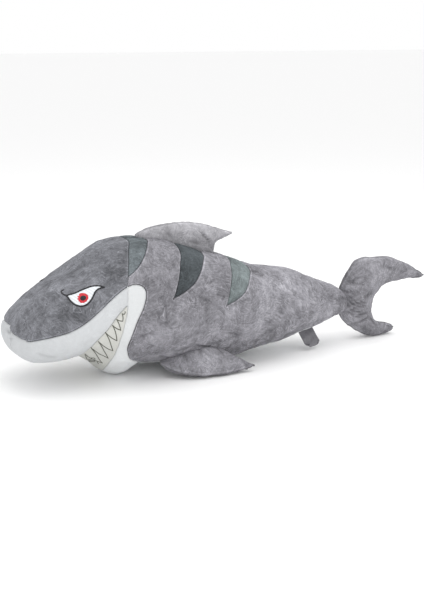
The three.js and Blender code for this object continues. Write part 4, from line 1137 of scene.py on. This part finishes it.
def cord_on_body(name, xz, side, half_w, height, lift=0.0, pitch=1.1, knots=(), closed=False):
    """A raised line of stitching laid along a side-view line."""
    q = np.array(xz, float)
    if closed and np.linalg.norm(q[0] - q[-1]) < 0.5:
        q = q[:-1]
    t = t_at(q[:, 0]); th = theta_of(t, q[:, 1], right=side > 0)
    w, _ = place(t, th, 0)
    nn = normals(t, th)
    w = w * 1000
    n = len(w)
    tan = np.zeros_like(w)
    for i in range(n):
        a = w[(i - 1) % n] if closed else w[max(i - 1, 0)]
        b = w[(i + 1) % n] if closed else w[min(i + 1, n - 1)]
        tan[i] = (b - a) / max(np.linalg.norm(b - a), 1e-9)
    s = np.concatenate([[0], np.cumsum(np.linalg.norm(np.diff(w, axis=0), axis=1))])
    m = 8
    verts = []
    for i in range(n):
        side_v = np.cross(nn[i], tan[i]); side_v /= max(np.linalg.norm(side_v), 1e-9)
        k = 1 + 0.10 * math.sin(2 * math.pi * s[i] / pitch)
        end = 1.0 if closed else min(1.0, 0.35 + min(i, n - 1 - i) / 2.0)
        for j in range(m):
            a = 2 * math.pi * j / m
            verts.append((w[i] + side_v * half_w * k * end * math.cos(a) + nn[i] * (lift + height * end * k * math.sin(a))) / 1000)
    faces = []
    for i in range(n if closed else n - 1):
        for j in range(m):
            a, b = i * m + j, i * m + (j + 1) % m
            c, d = ((i + 1) % n) * m + (j + 1) % m, ((i + 1) % n) * m + j
            faces.append((a, b, c, d))
    if not closed:
        faces.append(tuple(range(m - 1, -1, -1)))
        faces.append(tuple(range((n - 1) * m, n * m)))
    for kx, kz, kr in knots:
        tt = t_at(np.array([kx])); hh = theta_of(tt, np.array([kz]), right=side > 0)
        c, _ = place(tt, hh, 0); c = c[0] * 1000; nk = normals(tt, hh)[0]
        u = np.cross(nk, (0, 0, 1.0)); u /= np.linalg.norm(u); v = np.cross(nk, u)
        b0 = len(verts)
        rings = 5
        for a in range(rings):
            ph = math.pi / 2 * (1 - a / rings)  # from the rim to near the top
            for j in range(9):
                az = 2 * math.pi * j / 9
                rr = kr * (math.sin(ph)) * (1 + 0.12 * noise.noise(Vector((kx, kz, j * 0.9))))
                verts.append((c + (u * math.cos(az) + v * math.sin(az)) * rr + nk * (lift + 0.9 * kr * math.cos(ph) - 0.2)) / 1000)
        verts.append((c + nk * (lift + 0.9 * kr - 0.2)) / 1000)
        tip = len(verts) - 1
        for a in range(rings - 1):
            for j in range(9):
                faces.append((b0 + a * 9 + j, b0 + a * 9 + (j + 1) % 9, b0 + (a + 1) * 9 + (j + 1) % 9, b0 + (a + 1) * 9 + j))
        for j in range(9):
            faces.append((b0 + (rings - 1) * 9 + j, b0 + (rings - 1) * 9 + (j + 1) % 9, tip))
    o = mesh_object(name, verts, faces)
    tidy(o, 1e-6)
    return o


eye_edge = np.vstack([catmull(EYE_TOP, 0.8)[:-1], catmull(EYE_BOTTOM, 0.8)[:-1]])
_ec, _en = None, None


def circle(cx, cz, r, n, radius=None):
    """Side view of a true circle drawn on the fabric."""
    t = t_at(np.array([cx])); th = theta_of(t, np.array([cz]))
    c = surf(t, th)[0]; m = normals(t, th)[0]
    u = np.cross((0, 0, 1.0), m); u /= np.linalg.norm(u); v = np.cross(m, u)
    if u[0] < 0:
        u = -u
    if v[2] < 0:
        v = -v
    out = []
    for i in range(n):
        a = 2 * math.pi * i / n
        rr = r if radius is None else radius(a)
        q = c + (u * math.cos(a) + v * math.sin(a)) * rr
        out.append((q[0], q[2]))
    return out



def iris_shape():
    """The iris with the small notches that the white leaves on its front side, cut off by the upper lid."""
    def radius(a):
        r = 12.0
        for na, dep in ((2.6, 2.6), (3.15, 3.2), (3.7, 2.6), (4.15, 1.6)):
            r -= dep * math.exp(-((a - na) / 0.11) ** 2)
        return r
    pts = circle(IRIS[0], IRIS[1], 0, 84, radius)
    # keep it inside the lids
    out = []
    top = catmull(EYE_TOP, 0.5); bot = catmull(EYE_BOTTOM, 0.5)
    for x, z in pts:
        zt = np.interp(x, top[:, 0], top[:, 1]) - 0.8
        zb = np.interp(x, bot[::-1, 0], bot[::-1, 1]) + 0.8
        out.append((x, min(max(z, zb), zt)))
    return out


for side, word in ((-1, "left"), (1, "right")):
    w = patch("eye_white_stitching_" + word, eye_edge, side, 0.25, 0.75, 2.2)
    finish_piece(w, "embroidery_white", "trunk", ["eye_white_" + word])
    i = patch("eye_iris_stitching_" + word, iris_shape(), side, 0.9, 0.7, 1.6, 1.0)
    finish_piece(i, "embroidery_red", "trunk", ["eye_iris_" + word])
    p = patch("eye_pupil_stitching_" + word, circle(IRIS[0] + 0.8, IRIS[1] - 0.2, 7.0, 40), side, 1.3, 0.9, 1.4, 0.9)
    finish_piece(p, "embroidery_black", "trunk", ["eye_pupil_" + word])
    rim = cord_on_body("eye_line_stitching_" + word, eye_edge, side, 1.75, 1.25, lift=0.5, closed=True)
    hook = cord_on_body("eye_hook_stitching_" + word, catmull(EYE_HOOK, 0.6), side, 1.4, 1.1, lift=0.4)
    finish_piece(rim, "embroidery_black", "trunk", ["eye_outline_" + word])
    finish_piece(hook, "embroidery_black", "trunk", [])

# ------------------------------------------------------------------ tooth stitching
tooth = []
for a, b in zip(TOOTH_LINE[:-1], TOOTH_LINE[1:]):
    a, b = np.array(a), np.array(b)
    k = max(3, int(np.linalg.norm(b - a) / 1.3))
    side_v = np.array([-(b - a)[1], (b - a)[0]]) / np.linalg.norm(b - a)
    for i in range(k):
        f = i / k
        tooth.append(a + (b - a) * f + side_v * 1.1 * math.sin(math.pi * f))
tooth.append(np.array(TOOTH_LINE[-1]))
for side, word in ((-1, "left"), (1, "right")):
    th = cord_on_body("tooth_stitching_" + word, tooth, side, 0.95, 0.75, lift=0.15, pitch=2.6,
                      knots=[(x, z, 1.5 if i % 2 == 0 else 1.3) for i, (x, z) in enumerate(TOOTH_LINE) if i > 4])
    finish_piece(th, "thread_olive", "trunk", ["tooth_thread_" + word])


# curls of thread where the stitching runs out at the foot of the teeth
for side, word in ((-1, "left"), (1, "right")):
    th = cord_on_body("tooth_thread_curl_" + word, catmull(THREAD_CURL, 0.7), side, 0.8, 0.7, lift=0.15, pitch=2.6)
    finish_piece(th, "thread_olive", "trunk", [])


# ------------------------------------------------------------------ label: a satin ribbon folded in half
def make_label():
    a, b, drop = (np.array(LABEL[k], float) for k in ("a", "b", "drop"))
    u = (b - a) / np.linalg.norm(b - a)
    n = np.cross(u, drop); n /= np.linalg.norm(n)
    v = np.cross(n, u); v /= np.linalg.norm(v)
    if v @ drop < 0:
        v = -v
    wide, long = np.linalg.norm(b - a), drop @ v
    r = 0.75
    prof = [(+r, s) for s in np.linspace(-4, long - 3.2, 26)]
    prof += [(r * math.cos(q) * (1 + 0.6 * math.sin(q)), long - 3.2 + 2.2 * math.sin(q)) for q in np.linspace(0, math.pi, 13)[1:-1]]
    prof += [(-r, s) for s in np.linspace(long - 3.2, -4, 26)]
    nu = 22
    verts, faces = [], []
    for i, (d, s) in enumerate(prof):
        for j in range(nu + 1):
            f = j / nu
            g = max(0.0, s) / long
            bow = 2.2 * math.sin(math.pi * f) * g + 1.6 * g * g * (f - 0.5) * 2 + 1.0 * math.sin(5.0 * g + 2.0 * f) * g + 1.1 * math.sin(11.0 * g + 3.0 * f) * g
            # the corners curl over a diagonal, towards the front
            x, y, off = wide * f, s * (1 - 0.09 * f), d * (1 + 0.5 * g)
            lift = 0.0
            for cx, reach, sx in ((0.0, 14.0, -1), (wide, 17.0, 1)):
                over = (reach - (sx * (cx - x) + (long - y))) / math.sqrt(2)
                if over > 0:
                    q = min(over / 3.4, 1.9)
                    along_ = 3.4 * math.sin(q) + (over - 3.4 * q) * math.cos(q) - off * math.sin(q) - over
                    x += sx * along_ / math.sqrt(2); y += along_ / math.sqrt(2)
                    lift += 3.4 * (1 - math.cos(q)) + (over - 3.4 * q) * math.sin(q) - off * (math.cos(q) - 1)
            p = a + u * x + v * y * (1 - 0.02 * math.cos(math.pi * f)) + n * (off + bow - lift)
            p[2] = max(p[2], FLOOR + 1.0)
            verts.append(world(p))
    m = nu + 1
    for i in range(len(prof) - 1):
        for j in range(nu):
            faces.append((i * m + j, i * m + j + 1, (i + 1) * m + j + 1, (i + 1) * m + j))
    o = mesh_object("satin_label", verts, faces)
    tidy(o, 1e-7)
    s = o.modifiers.new("thickness", "SOLIDIFY"); s.thickness = 0.0003; s.offset = 0
    bake(o)
    area = wide * (2 * (long - 3.2) + 8 + 6) / 1e6
    return o, (wide / 1000, area / (wide / 1000))


lab, flat = make_label()
finish_piece(lab, "label_satin", "label", ["care_label"])

# ------------------------------------------------------------------ floor, light, camera
me = bpy.data.meshes.new("floor"); me.from_pydata([(-30, -30, -0.0002), (30, -30, -0.0002), (30, 30, -0.0002), (-30, 30, -0.0002)], [], [(0, 1, 2, 3)])
floor = bpy.data.objects.new("floor", me); bpy.context.scene.collection.objects.link(floor)
fm = bpy.data.materials.new("floor_white"); fm.use_nodes = True
fb = fm.node_tree.nodes["Principled BSDF"]
fb.inputs["Base Color"].default_value = (0.95, 0.95, 0.95, 1); fb.inputs["Roughness"].default_value = 0.9
fb.inputs["Specular IOR Level"].default_value = 0.1
floor.data.materials.append(fm)

scene = bpy.context.scene
world_ = bpy.data.worlds.new("studio"); scene.world = world_
world_.use_nodes = True
bg = world_.node_tree.nodes["Background"]
bg.inputs[0].default_value = (1, 1, 1, 1); bg.inputs[1].default_value = 1.0
scene.view_settings.view_transform = "Standard"


def area_light(name, loc, target, size, power, color=(1, 1, 1)):
    l = bpy.data.lights.new(name, "AREA"); l.shape = "RECTANGLE"; l.size, l.size_y = size; l.energy = power; l.color = color
    o = bpy.data.objects.new(name, l); scene.collection.objects.link(o)
    o.location = loc
    o.rotation_euler = (Vector(target) - Vector(loc)).to_track_quat("-Z", "Y").to_euler()
    return o


area_light("top_softbox", (0.3, 0.1, 2.4), (0, 0, 0.1), (2.8, 2.2), 22)
area_light("front_softbox", (-1.1, -2.5, 0.9), (-0.05, 0, 0.1), (3.0, 1.5), 9)
area_light("rear_softbox", (1.7, -1.5, 1.0), (0.3, 0, 0.12), (1.4, 1.2), 3.5)

T = Vector((-0.055386, 0, 0.131))
back = Vector((-0.44236, -0.86817, 0.22495)).normalized()
cam = bpy.data.cameras.new("camera"); cam.sensor_fit = "VERTICAL"; cam.sensor_width = 36; cam.sensor_height = 36; cam.lens = 70.9
co = bpy.data.objects.new("camera", cam); scene.collection.objects.link(co)
co.location = T + back * 2.6
co.rotation_euler = (-back).to_track_quat("-Z", "Y").to_euler()
cam.clip_start, cam.clip_end = 0.05, 100
scene.camera = co


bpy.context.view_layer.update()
